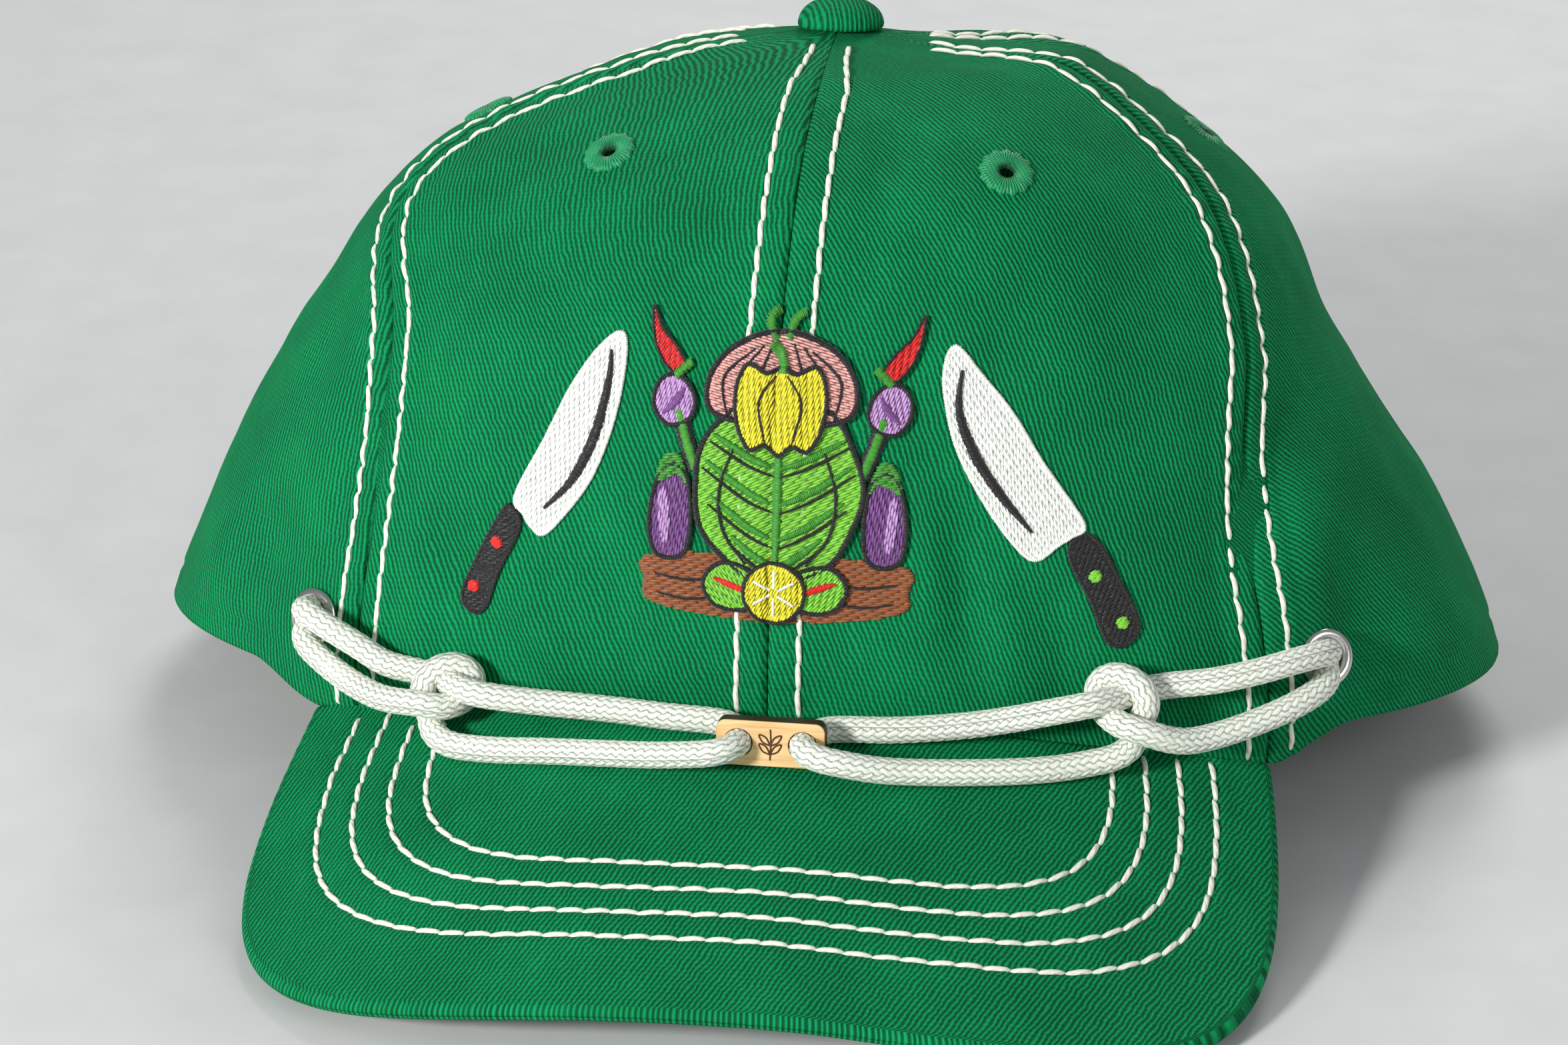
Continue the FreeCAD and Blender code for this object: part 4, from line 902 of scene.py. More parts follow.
def visor_cloth(name, side):
    """One cover of the visor, wrapped round the board's edge up to the seam; side is 1 or -1."""
    columns, rows, nose = 330, 84, np.radians([18, 36, 54, 72, 86])
    turn = visible_turns(columns, EDGE, EDGE)
    edge_u, edge_w = visor_outline(turn, EDGE, EDGE)
    grow_u, grow_w = visor_outline(turn, 0.0, 0.0)
    rim_x = np.linspace(0.97, -0.97, columns) * BEND * math.sin(edge_u[0] / BEND)
    power = STATIONS[0, 3]
    rim_y = -RIM_DEPTH * (1 - (np.abs(rim_x) / RIM_WIDTH) ** power) ** (1 / power) - 0.15
    rim_u = BEND * np.arcsin(rim_x / BEND)
    rim_w = (-RIM_DEPTH - rim_y + BEND * (1 - np.cos(rim_u / BEND)) * math.sin(SLOPE)) / math.cos(SLOPE)
    share = (1 - (1 - np.linspace(0, 1, rows)) ** 1.15)[:, None]
    u = rim_u + (edge_u - rim_u) * share
    w = rim_w + (edge_w - rim_w) * share
    relief = visor_relief(u, w) * smooth(share, 0.0, 0.04)
    outer = [visor_point(u, w, relief if side > 0 else -2 * EDGE - 0.8 * relief)]
    for angle in nose:
        nose_u = edge_u + (grow_u - edge_u) * math.sin(angle)
        nose_w = edge_w + (grow_w - edge_w) * math.sin(angle)
        depth = side * EDGE * math.cos(angle) - EDGE
        outer.append(visor_point(nose_u, nose_w, depth + relief[-1] * math.cos(angle))[None])
    outer = np.concatenate(outer)
    closing = visor_point(edge_u + (grow_u - edge_u) * 0.6, edge_w + (grow_w - edge_w) * 0.6,
                          side * 0.1 - EDGE + 0 * edge_u)
    inner = outer.copy()
    inner[:rows] = visor_point(u, w, (-0.7 if side > 0 else -2.6) + 0 * u)
    inner[rows:] = closing + (outer[rows:] - closing) * np.linspace(0.5, 0.05, len(nose))[:, None, None]
    weave = np.concatenate([np.stack([u, w], -1), np.stack([grow_u, grow_w], -1)[None] + 0 * outer[rows:, :, :2]])
    if side > 0:
        outer, inner, weave = outer[:, ::-1], inner[:, ::-1], weave[:, ::-1]
    cloth_piece(name, "visor_twill", outer[::-1], inner[::-1], TWILL, weave[::-1])


visor_cloth("visor_top_cover", 1)
visor_cloth("visor_under_cover", -1)

# ---- stitches

def sew(name, slot, lines, pitch=4.6, length=5.1, radius=0.43, slant=0.17, material=SEAM_THREAD):
    """Rows of single thick stitches.  lines is a list of (points, normals) in millimetres."""
    rng = np.random.default_rng(len(name))
    verts, faces, uvs, shades = [], [], [], []
    around, steps = 7, 9
    ring = np.linspace(0, 2 * math.pi, around, endpoint=False)
    for points, normals in lines:
        run = run_along(points)

        def at(s, values):
            return np.stack([np.interp(s, run, values[:, k]) for k in range(3)], -1)

        for k in range(int((run[-1] - 0.5) / pitch)):
            start = 0.3 + k * pitch + rng.uniform(-0.12, 0.12)
            t = np.linspace(0, 1, steps)
            s = start + t * length
            centre, out = at(s, points), unit(at(s, normals))
            ahead = unit(at(s + 0.2, points) - at(s - 0.2, points) + 1e-9)
            side = np.cross(out, ahead)
            lean = slant * (t - 0.5) * 2 * (1 + rng.uniform(-0.25, 0.25))
            bow = np.sin(math.pi * t) ** 0.55
            centre = centre + side * lean[:, None] + out * (-0.20 + 0.50 * bow)[:, None]
            girth = radius * (0.60 + 0.40 * bow)
            tube = (centre[:, None] + side[:, None] * (np.cos(ring)[None, :, None] * girth[:, None, None] * 1.15)
                    + out[:, None] * (np.sin(ring)[None, :, None] * girth[:, None, None] * 0.85))
            faces.append(grid_faces(steps, around, len(verts) * steps * around, wrap=True, flip=True))
            verts.append(tube.reshape(-1, 3))
            uvs.append(np.stack(np.broadcast_arrays(ring[None] / 3.0, s[:, None]), -1).reshape(-1, 2))
            # Painted shade: each stitch is darker towards its ends, where it sinks into the cloth.
            shades.append(np.repeat(0.35 + 0.65 * bow, around))
    piece(new_object(name, np.concatenate(verts), np.concatenate(faces), [material], np.concatenate(uvs),
                     shades=np.concatenate(shades)), slot)


def crown_row(seam, offset, low):
    """Stitch row beside a seam; both rows draw closer to it under the button."""
    high = 0.984
    fraction = np.linspace(low, high, 260)
    offset = offset * (1 - 0.4 * smooth(fraction, 0.92, high))
    bearing = seam_bearing(seam, fraction) + offset / np.interp(fraction, SPREAD_AT, SPREADS[seam])
    return crown_cloth(bearing, fraction)


for seam_name, sewn_seam, row_low in (("front", 0, 0.006), ("left_front", -1, 0.006), ("right_front", 1, 0.006),
                                      ("left_back", -2, 0.006), ("right_back", 2, 0.006), ("back", 3, 0.425)):
    rows_sewn = [crown_row(sewn_seam, way * ROW_GAPS[sewn_seam], row_low) for way in (-1, 1)]
    sew(seam_name + "_seam_stitches", "crown_twill", rows_sewn)


def visor_stitches():
    lines = []
    for row in VISOR_ROWS:
        u, w = visor_outline(visible_turns(700, *row), *row)
        lines.append((visor_point(u, w, visor_relief(u, w)), visor_normal(u)))
    sew("visor_stitches", "visor_twill", lines, pitch=4.3, length=4.75)


visor_stitches()


# ---- small turned pieces

def axis_frame(bearing, fraction, on_cloth=True):
    """Origin on the crown and three directions: around, up and out."""
    b, f = np.array([bearing]), np.array([fraction])
    out = crown_normal(b, f)[0]
    origin = (crown_cloth(b, f)[0] if on_cloth else bare_crown(b, f))[0]
    up = np.array([0, 0, 1.0]) - out * out[2]
    up /= np.linalg.norm(up)
    return origin, np.cross(up, out), up, out


def turned(name, slot, axes, profile, material, around=64, wave=None, shade=None):
    """Surface of revolution about the third axis from (radius, height) pairs; wave adds relief by angle."""
    origin, x, y, z = axes
    profile = np.array(profile, float)
    radius, turn = np.meshgrid(profile[:, 0], np.linspace(0, 2 * math.pi, around, endpoint=False), indexing="ij")
    height = np.broadcast_to(profile[:, 1:], turn.shape)
    if wave is not None:
        extra_radius, extra_height = wave(turn, radius, height)
        radius, height = radius + extra_radius, height + extra_height
    flat = np.stack([np.cos(turn) * radius, np.sin(turn) * radius], -1)
    verts = origin + x * flat[..., :1] + y * flat[..., 1:] + z * height[..., None]
    faces = grid_faces(len(profile), around, wrap=True).tolist()
    if not np.allclose(profile[0], profile[-1]):
        ends = np.arange(around)
        faces += [ends[::-1], ends + (len(profile) - 1) * around]
    tones = None if shade is None else shade(turn, radius, height).ravel()
    obj = new_object(name, verts.reshape(-1, 3), faces, [material], flat.reshape(-1, 2), shades=tones)
    piece(obj, slot, name)


def button():
    """Covered button with gathers round its edge."""
    dome = [(7.2, 0.0)]
    dome += [(7.35 * math.cos(t), 0.35 + 4.85 * math.sin(t)) for t in np.linspace(0.05, 1.54, 26)]

    def gather(turn, radius, height):
        edge = smooth(radius, 4.5, 7.2)
        return 0.10 * edge * np.sin(turn * 23 + 1.5 * np.sin(turn * 5)), 0.06 * np.sin(turn * 3) * edge

    turned("button_cover", "crown_twill", (np.array([0, 0, RISE + 0.15]), *np.eye(3)), dome, TWILL, 96, gather)


button()


EYELET_THREADS = 23


def eyelet(name, bearing, fraction):
    """Buttonhole-stitched eyelet: a plump ring of radial threads round a small dark hole, with shade painted
    between the threads and towards the hole.
    """
    profile = [(2.80 + 1.65 * math.cos(t), -0.15 + (0.85 if math.sin(t) > 0 else 1.15) * math.sin(t))
               for t in np.linspace(0, 2 * math.pi, 22)]

    def threads(turn, radius, height):
        wave = np.abs(np.sin(turn * EYELET_THREADS)) ** 0.7
        ragged = 0.20 * np.sin(turn * 13 + 2) * smooth(radius, 3.4, 4.4)
        return ragged, 0.24 * (wave - 0.5) * np.sign(height + 0.15)

    # Painted shade: dark in the grooves between the radial threads and towards the hole.
    def tone(turn, radius, height):
        return np.abs(np.sin(turn * EYELET_THREADS)) ** 0.6 * smooth(radius, 1.1, 2.2)

    turned(name, "eyelet_thread", axis_frame(math.radians(bearing), fraction), profile, GREEN_THREAD,
           8 * EYELET_THREADS, threads, tone)


for eyelet_side, eyelet_place in EYELETS.items():
    eyelet(eyelet_side + "_vent_eyelet", *eyelet_place)


def grommet(side, axes):
    """Rolled ring with its throat outside the cloth, and a washer inside."""
    rolled = [(3.95 + 0.95 * math.cos(t), 0.55 + 0.75 * math.sin(t)) for t in np.linspace(-0.6, math.pi, 18)]
    throat = [(3.0, 0.2), (3.0, -1.1), (3.55, -1.1), (3.55, -0.1), (4.4, -0.05)]
    disc = [(3.05, -3.2), (4.55, -3.2), (4.62, -3.35), (4.5, -3.62), (3.2, -3.7), (3.05, -3.6), (3.05, -3.2)]
    turned(side + "_grommet", "nickel", axes, rolled + throat + rolled[:1], NICKEL)
    turned(side + "_grommet_washer", "nickel", axes, disc, NICKEL)


def stopper(side, axes):
    """The two rope ends knotted inside: a lumpy ball of braided turns with a stub through the grommet."""
    ball, middle = 4.55, -8.7
    profile = [(2.75, 0.7)] + [(2.75, h) for h in np.linspace(0.2, -4.2, 14)]
    profile += [(ball * math.sin(t), middle + ball * math.cos(t)) for t in np.linspace(0.68, 3.05, 46)]

    def braid(turn, radius, height):
        p, q = 4 * turn / math.pi + height / 2.1, 4 * turn / math.pi - height / 2.1
        over = (np.floor(p) + np.floor(q)) % 2 == 0
        return np.sin(math.pi * np.where(over, p % 1, q % 1)) ** 0.6

    def relief(turn, radius, height):
        lobes = 0.30 * np.sin(turn * 2 + height * 0.9) * smooth(-height, 4.5, 6.5)
        return -0.5 + 0.3 * braid(turn, radius, height) + np.minimum(lobes, 0.1), 0.0

    # The braid's height is also the shade: painted shade between the strands.
    turned(side + "_stopper_knot", "rope_yarn", axes, profile, ROPE, 112, relief, braid)


for rope_end, rope_hole in GROMMETS.items():
    grommet(rope_end, axis_frame(*rope_hole, on_cloth=False))
    stopper(rope_end, axis_frame(*rope_hole, on_cloth=False))


# ---- embroidery

def front_point(x, z):
    """Bearing and fraction of the crown point that is at (x, z) in the front view."""
    x, z = np.asarray(x, float), np.asarray(z, float)
    bearing = np.arcsin(np.clip(x / 95, -0.9, 0.9))
    step = 1e-4
    for _ in range(14):
        fraction = np.clip(fraction_of_height(bearing, z), 0, 1)

        def miss(b):
            return section_radius(b, fraction) * np.sin(b) - x

        bearing = bearing - miss(bearing) * 2 * step / (miss(bearing + step) - miss(bearing - step))
    return bearing, fraction


def curve_through(points, closed=True):
    """Smooth line through points (Catmull-Rom)."""
    count = 12
    p = np.array(points, float)
    p = np.concatenate([p[-1:], p, p[:2]]) if closed else np.concatenate([p[:1], p, p[-1:]])
    t = np.linspace(0, 1, count, endpoint=False)[:, None]
    out = [0.5 * (2 * b + (c - a) * t + (2 * a - 5 * b + 4 * c - d) * t ** 2 + (3 * b - a - 3 * c + d) * t ** 3)
           for a, b, c, d in zip(p, p[1:], p[2:], p[3:])]
    line = np.concatenate(out)
    return np.concatenate([line, line[:1] if closed else p[-1:]])


def oval(x, z, half_x, half_z, turn=0.0, lumps=0, depth=0.0):
    a = np.linspace(0, 2 * math.pi, 73)
    grow = 1 + depth * np.cos(lumps * a)
    c, s = math.cos(math.radians(turn)), math.sin(math.radians(turn))
    u, w = half_x * np.cos(a) * grow, half_z * np.sin(a) * grow
    return np.stack([x + u * c - w * s, z + u * s + w * c], 1)


# Each embroidery thread's darker colour, a share of its own colour, is painted shade for its hollows.
def dyed(name, r, g, b, shade_share=0.5):
    return yarn(name + "_thread", linear(r * shade_share, g * shade_share, b * shade_share), linear(r, g, b), 8.0, 0.00008, 0.42, 0.25)


THREADS = [dyed("white", 244, 247, 238, 0.72), dyed("black", 22, 21, 23, 0.35), dyed("red", 226, 26, 24),
           dyed("lime", 128, 206, 54), dyed("yellow", 232, 222, 40, 0.62), dyed("purple", 122, 72, 138),
           dyed("lilac", 196, 150, 208), dyed("pink", 232, 168, 160), dyed("brown", 152, 84, 40),
           dyed("leaf", 62, 150, 40)]
WHITE, BLACK, RED, LIME, YELLOW, PURPLE, LILAC, PINK, BROWN, LEAF = range(10)
SATIN_PITCH = 0.295


class Needle:
    """Gathers single threads, drawn on the front view in millimetres, into one sewn piece."""

    STEPS, SIDES = 4, 5
    FILL_THREAD, SATIN_THREAD = (0.25, 0.17, 0.14), (0.2, 0.2, 0.16)     # half width, half height, bow

    def __init__(self, seed):
        self.rng = np.random.default_rng(seed)
        self.parts = []

    def fill(self, outline, colour, angle, lift, pitch=0.42, length=3.0):
        """Brick rows of stitches over an outline."""
        line = np.asarray(outline, float)
        c, s = math.cos(math.radians(angle)), math.sin(math.radians(angle))
        u, v = line[:, 0] * c + line[:, 1] * s, -line[:, 0] * s + line[:, 1] * c
        starts, ends = [], []
        for row, level in enumerate(np.arange(v.min() + pitch / 2, v.max(), pitch)):
            v0, v1 = v - level, np.roll(v, -1) - level
            hit = v0 * v1 < 0
            at = np.sort((u + (np.roll(u, -1) - u) * v0 / np.where(v0 == v1, 1, v0 - v1))[hit])
            for left, right in zip(at[::2], at[1::2]):
                shift = (row * 0.37 % 1) * length
                cuts = np.arange(math.ceil((left - shift) / length), (right - shift) / length) * length + shift
                cuts = cuts[(cuts > left + 0.7) & (cuts < right - 0.7)]
                cuts = np.concatenate([[left], cuts, [right]])
                cuts = cuts + self.rng.uniform(-0.16, 0.16, len(cuts))
                starts += [(x, level) for x in cuts[:-1] - 0.08]
                ends += [(x, level) for x in cuts[1:] + 0.08]
        back = np.array([[c, s], [-s, c]])
        self.parts.append((np.array(starts) @ back, np.array(ends) @ back, colour, lift, *self.FILL_THREAD))

    def satin(self, line, colour, width, lift, pitch=SATIN_PITCH, taper=False):
        """Close stitches across a line."""
        at, run = even(np.asarray(line, float), pitch)
        ahead = unit(np.gradient(at, axis=0))
        across = np.stack([-ahead[:, 1], ahead[:, 0]], 1)
        half = width / 2 * (1 + self.rng.uniform(-0.12, 0.12, len(run)))
        if taper:
            half = half * np.sin(math.pi * (0.06 + 0.88 * run / run[-1])) ** 0.7
        offset = across * half[:, None] + ahead * 0.12
        self.parts.append((at - offset, at + offset, colour, lift, *self.SATIN_THREAD))

    def stroke(self, points, colour, width, lift, pitch=SATIN_PITCH):
        """Tapered satin line through points."""
        self.satin(curve_through(points, False), colour, width, lift, pitch, taper=True)

    def patch(self, outline, colour, angle, lift, edge_width, edge_lift, length=3.0):
        """Filled shape with a black edge."""
        self.fill(outline, colour, angle, lift, length=length)
        self.satin(outline, BLACK, edge_width, edge_lift)

    def done(self, name):
        verts, faces, uvs, shades, slots = [], [], [], [], []
        t = np.linspace(0, 1, self.STEPS)
        bend = np.sin(math.pi * (0.08 + 0.84 * t)) ** 0.8
        ring = np.linspace(0, 2 * math.pi, self.SIDES, endpoint=False)
        base = 0
        for a, b, colour, lift, width, height, bow in self.parts:
            flat = a[:, None] + (b - a)[:, None] * t[:, None]
            place, normal = crown_cloth(*front_point(flat[..., 0], flat[..., 1]))
            ahead = unit(place[:, -1] - place[:, 0])[:, None]
            side = unit(np.cross(normal, ahead))
            up = lift - bow + 2 * bow * bend + self.rng.uniform(-0.03, 0.03, (len(a), 1))
            centre = place + normal * up[..., None]
            girth = (0.45 + 0.55 * bend)[:, None, None]
            tube = (centre[:, :, None] + side[:, :, None] * np.cos(ring)[:, None] * width * girth
                    + normal[:, :, None] * np.sin(ring)[:, None] * height * girth)
            count = self.STEPS * self.SIDES
            quads = grid_faces(self.STEPS, self.SIDES, wrap=True, flip=True)
            shift = base + count * np.arange(len(a))
            faces += (quads[None] + shift[:, None, None]).reshape(-1, 4).tolist()
            ends = np.array([np.arange(self.SIDES), np.arange(self.SIDES)[::-1] + count - self.SIDES])
            faces += (ends[None] + shift[:, None, None]).reshape(-1, self.SIDES).tolist()
            slots += [colour] * (len(a) * (len(quads) + 2))
            verts.append(tube.reshape(-1, 3))
            run = np.linalg.norm(b - a, axis=1)[:, None, None] * t[:, None]
            run = run + self.rng.uniform(0, 9, (len(a), 1, 1))
            uvs.append(np.stack(np.broadcast_arrays(ring / 3.0, run), -1).reshape(-1, 2))
            # Painted shade and highlight: each thread is darker towards its ends, where it sinks in, and lighter
            # on its outward side; the random part is the threads' own uneven tone.
            tone = (0.25 + 0.6 * bend + self.rng.uniform(-0.12, 0.15, (len(a), 1)))[..., None]
            shades.append(np.clip(tone + 0.22 * np.sin(ring), 0, 1).reshape(-1))
            base += count * len(a)
        piece(new_object(name, np.concatenate(verts), faces, THREADS, np.concatenate(uvs), face_slots=slots,
                         shades=np.concatenate(shades)), "embroidery_thread", name)


def shrunk(outline, share):
    middle = outline.mean(0)
    return middle + (outline - middle) * share


def knife(name, blade, edge_line, grip, rivets, rivet_colour, angle, seed):
    """White blade with a black line near its edge, and a black grip with two rivets."""
    needle = Needle(seed)
    blade, grip = shrunk(curve_through(blade), 0.955), shrunk(curve_through(grip), (0.90, 0.96))
    needle.fill(blade, WHITE, angle, 0.30, 0.33, 2.6)
    needle.satin(np.concatenate([blade, blade[:1]]), WHITE, 0.75, 0.36, 0.3)
    needle.stroke(edge_line, BLACK, 1.6, 0.66, 0.24)
    needle.fill(grip, BLACK, angle - 60, 0.34, 0.33, 2.2)
    needle.satin(np.concatenate([grip, grip[:1]]), BLACK, 0.7, 0.42, 0.3)
    for x, z in rivets:
        needle.fill(oval(x, z, 0.95, 0.95), rivet_colour, 30, 0.66, 0.26)
    needle.done(name)


knife("left_knife_embroidery",
      [(-26.3, 66.8), (-26.0, 60.2), (-27.7, 51.0), (-30.9, 43.0), (-34.8, 37.1), (-39.0, 32.6), (-41.2, 33.6),
       (-42.6, 35.6), (-44.2, 38.4), (-39.3, 48.3), (-34.8, 57.6), (-30.3, 64.2)],
      [(-28.4, 63.2), (-28.6, 58.6), (-30.4, 50.3), (-34.1, 42.6), (-38.6, 37.6)],
      [(-42.4, 34.4), (-44.2, 37.4), (-45.6, 36.6), (-49.6, 30.0), (-53.2, 23.4), (-53.6, 20.0), (-51.6, 18.2),
       (-49.4, 19.4), (-46.0, 26.8)],
      [(-46.9, 30.9), (-51.4, 22.9)], RED, 74, 31)
knife("right_knife_embroidery",
      [(26.4, 67.0), (30.8, 62.9), (36.4, 56.7), (42.0, 48.6), (49.2, 38.6), (47.4, 36.4), (45.2, 35.0),
       (41.9, 32.6), (38.7, 34.6), (33.2, 41.8), (28.2, 50.5), (25.8, 58.0), (25.0, 63.4)],
      [(28.2, 62.6), (28.2, 56.7), (30.8, 50.5), (35.0, 44.3), (40.6, 37.8)],
      [(46.0, 34.4), (48.4, 37.6), (51.4, 35.6), (55.0, 29.6), (58.3, 23.4), (58.2, 20.4), (55.9, 18.7),
       (53.2, 19.8), (50.4, 26.0)],
      [(50.9, 30.6), (55.5, 22.9)], LIME, 108, 32)


def mirrored(way, *points):
    return [(way * x, z) for x, z in points]


def side_vegetables(needle, way):
    """Aubergine, stalk with a small bulb, and chilli on one side."""
    fruit = curve_through(mirrored(way, (16.4, 31.6), (19.6, 32.2), (20.8, 36.0), (20.4, 41.6), (18.8, 45.8),
                                   (16.6, 46.6), (14.8, 44.4), (14.0, 39.0), (14.4, 33.6)))
    needle.fill(fruit, PURPLE, 84, 0.36, length=2.4)
    needle.fill(oval(way * 18.4, 38.4, 0.9, 4.6, way * -4), LILAC, 84, 0.56, length=2.0)
    needle.satin(fruit, BLACK, 0.8, 0.62)
    cap = curve_through(mirrored(way, (14.6, 43.4), (16.4, 45.0), (19.8, 43.6), (18.6, 48.0), (16.0, 48.0)))
    needle.fill(cap, LEAF, 10, 0.66, length=1.8)
    stem = curve_through(mirrored(way, (13.4, 46), (15.0, 50.0), (16.6, 55.0)), False)
    needle.satin(stem, BLACK, 2.7, 0.40, 0.24)
    needle.satin(stem, LEAF, 1.5, 0.60, 0.24)
    bulb = mirrored(way, (15.2, 53.6), (18.4, 52.8), (20.8, 55.6), (20.2, 59.2), (17.4, 60.6), (14.8, 58.6),
                    (14.0, 55.8))
    needle.patch(curve_through(bulb), LILAC, 70, 0.56, 0.75, 0.74, 1.8)
    needle.stroke(mirrored(way, (15.9, 58.4), (17.2, 56.4), (19.0, 54.6)), PURPLE, 1.5, 0.72)
    chilli = mirrored(way, (15.6, 61.6), (17.6, 60.8), (19.8, 62.6), (21.4, 66.0), (21.8, 70.4), (20.2, 67.4),
                      (17.6, 64.8))
    needle.patch(curve_through(chilli), RED, 58, 0.62, 0.5, 0.74, 2.2)
    needle.satin(mirrored(way, (15.0, 62.6), (17.4, 60.4)), LEAF, 1.5, 0.86)


def cabbage_side(needle, way):
    """Veins, a fold and a loose leaf on one side of the cabbage."""
    for low, reach, rise in ((31.0, 7.2, 4.8), (35.4, 10.6, 6.4), (41.0, 11.8, 6.6), (46.8, 10.6, 5.0)):
        vein = curve_through([(0, low), (way * reach * 0.45, low + rise * 0.35), (way * reach, low + rise)],
                             False)
        needle.satin(vein, LEAF, 1.3, 0.80, taper=True)
        needle.satin(vein + np.array([way * 0.5, -1.2]), BLACK, 0.55, 0.90, taper=True)
    needle.stroke(mirrored(way, (5.0, 31.6), (8.6, 36.6), (9.4, 43.0), (7.4, 49.6)), BLACK, 0.55, 0.94)
    leaf = curve_through(mirrored(way, (2.6, 29.4), (8.4, 31.4), (11.6, 28.2), (9.6, 24.4), (4.4, 24.2)))
    needle.patch(leaf, LIME, 90 - way * 40, 0.86, 0.75, 1.02, 2.2)
    needle.satin(mirrored(way, (3.6, 26.6), (9.8, 28.8)), RED, 1.3, 1.06, taper=True)


def vegetables():
    """A plain kitchen still life: cabbage, onion, pepper, aubergines, chillies, lemon and a board."""
    needle = Needle(33)
    board = curve_through([(-21.2, 31.6), (-8, 33), (8, 33), (21.2, 31.6), (21.6, 27.4), (20.8, 24.2), (11, 22.4),
                           (0, 22.0), (-11, 22.4), (-20.8, 24.2), (-21.6, 27.4)])
    needle.fill(board, BROWN, 6, 0.26)
    for z, reach in ((25.6, 19.0), (28.8, 19.6)):
        for way in (-1, 1):
            needle.stroke(mirrored(way, (reach, z), (14, z - 0.7), (8, z + 0.3)), BLACK, 0.5, 0.44)
    for way in (-1, 1):
        side_vegetables(needle, way)
    needle.patch(oval(0, 43.6, 13.6, 15.0, 0, 7, 0.018), LIME, 24, 0.52, 0.9, 0.84)
    for way in (-1, 1):
        cabbage_side(needle, way)
    needle.satin([(0, 30.5), (0, 53)], LEAF, 1.7, 0.92, taper=True)
    onion = curve_through([(-11.4, 55.6), (-11.8, 60.4), (-8.4, 65.0), (-2.6, 67.4), (2.6, 67.4), (8.4, 65.0),
                           (11.8, 60.4), (11.4, 55.6), (6.0, 53.8), (0, 53.2), (-6.0, 53.8)])
    needle.patch(onion, PINK, -12, 0.76, 0.9, 1.02, 2.2)
    for way in (-1, 1):
        for reach in (3.4, 6.6, 9.4):
            needle.stroke([(way * reach * 0.5, 66.4 - reach * 0.16), (way * reach, 60.6),
                           (way * reach * 0.92, 54.8)], BLACK, 0.5, 1.0)
    needle.satin(curve_through([(-1.2, 66.6), (-2.4, 69.2), (-1.0, 71.0)], False), LEAF, 1.4, 1.0)
    needle.satin(curve_through([(0.8, 66.8), (1.6, 69.4), (3.2, 70.6)], False), LEAF, 1.3, 1.0)
    pepper = curve_through([(-5.6, 62.6), (-2.4, 61.4), (0, 62.4), (2.4, 61.4), (5.6, 62.6), (7.3, 58.6),
                            (6.7, 53.2), (4.6, 49.8), (2.2, 50.6), (0, 49.0), (-2.2, 50.6), (-4.6, 49.8),
                            (-6.7, 53.2), (-7.3, 58.6)])
    needle.patch(pepper, YELLOW, 70, 1.24, 0.75, 1.40, 2.4)
    for way in (-1, 1):
        needle.stroke(mirrored(way, (1.0, 61.0), (3.4, 57.0), (2.2, 51.0)), BLACK, 0.5, 1.40)
    needle.satin(curve_through([(0.2, 61.6), (0.0, 64.0), (-1.6, 65.8)], False), LEAF, 1.7, 1.46)
    slice_height = 27.0
    needle.patch(oval(0, slice_height, 4.9, 4.9), YELLOW, 64, 1.26, 0.7, 1.40, 2.0)
    for turn in np.radians(np.arange(30, 360, 60)):
        c, s = math.cos(turn), math.sin(turn)
        needle.satin([(r * c, slice_height + r * s) for r in (0.9, 3.6)], WHITE, 0.5, 1.42)
    needle.done("vegetable_embroidery")


vegetables()

# ---- wooden tag

def flat_outline(spline, points):
    spline.points.add(len(points) - 1)
    for point, (x, y) in zip(spline.points, points):
        point.co = (x, y, 0, 1)
    spline.use_cyclic_u = True


TAG_HALF, TAG_CORNER, TAG_HALF_DEPTH, TAG_SOFT = (8.8, 3.8), 1.6, 1.4, 0.22
TAG_HOLE, TAG_HOLE_ASIDE = 2.3, 5.2


def wood_tag():
    """Rounded plate with two bored holes and softened edges."""
    curve = bpy.data.curves.new("tag", "CURVE")
    curve.dimensions = "2D"
    curve.fill_mode = "BOTH"
    curve.extrude, curve.bevel_depth, curve.bevel_resolution = TAG_HALF_DEPTH - TAG_SOFT, TAG_SOFT, 2
    corner, bore = TAG_CORNER - TAG_SOFT, TAG_HOLE + TAG_SOFT
    outline = []
    for x, z, start in ((1, 1, 0), (-1, 1, 90), (-1, -1, 180), (1, -1, 270)):
        for a in np.radians(np.linspace(start, start + 90, 9)):
            outline.append((x * (TAG_HALF[0] - TAG_CORNER) + corner * math.cos(a),
                            z * (TAG_HALF[1] - TAG_CORNER) + corner * math.sin(a)))
    flat_outline(curve.splines.new("POLY"), outline)
    ring = np.linspace(0, 2 * math.pi, 48, endpoint=False)[::-1]
    for side in (-1, 1):
        flat_outline(curve.splines.new("POLY"),
                     [(side * TAG_HOLE_ASIDE + bore * math.cos(a), bore * math.sin(a)) for a in ring])
    flat, faces = curve_mesh(curve)
    verts = np.stack([flat[:, 0], -flat[:, 2], flat[:, 1]], 1) + TAG_MIDDLE
    piece(new_object("wood_tag", verts, faces, [MAPLE], smooth_shade=False), "maple", "wood_tag")


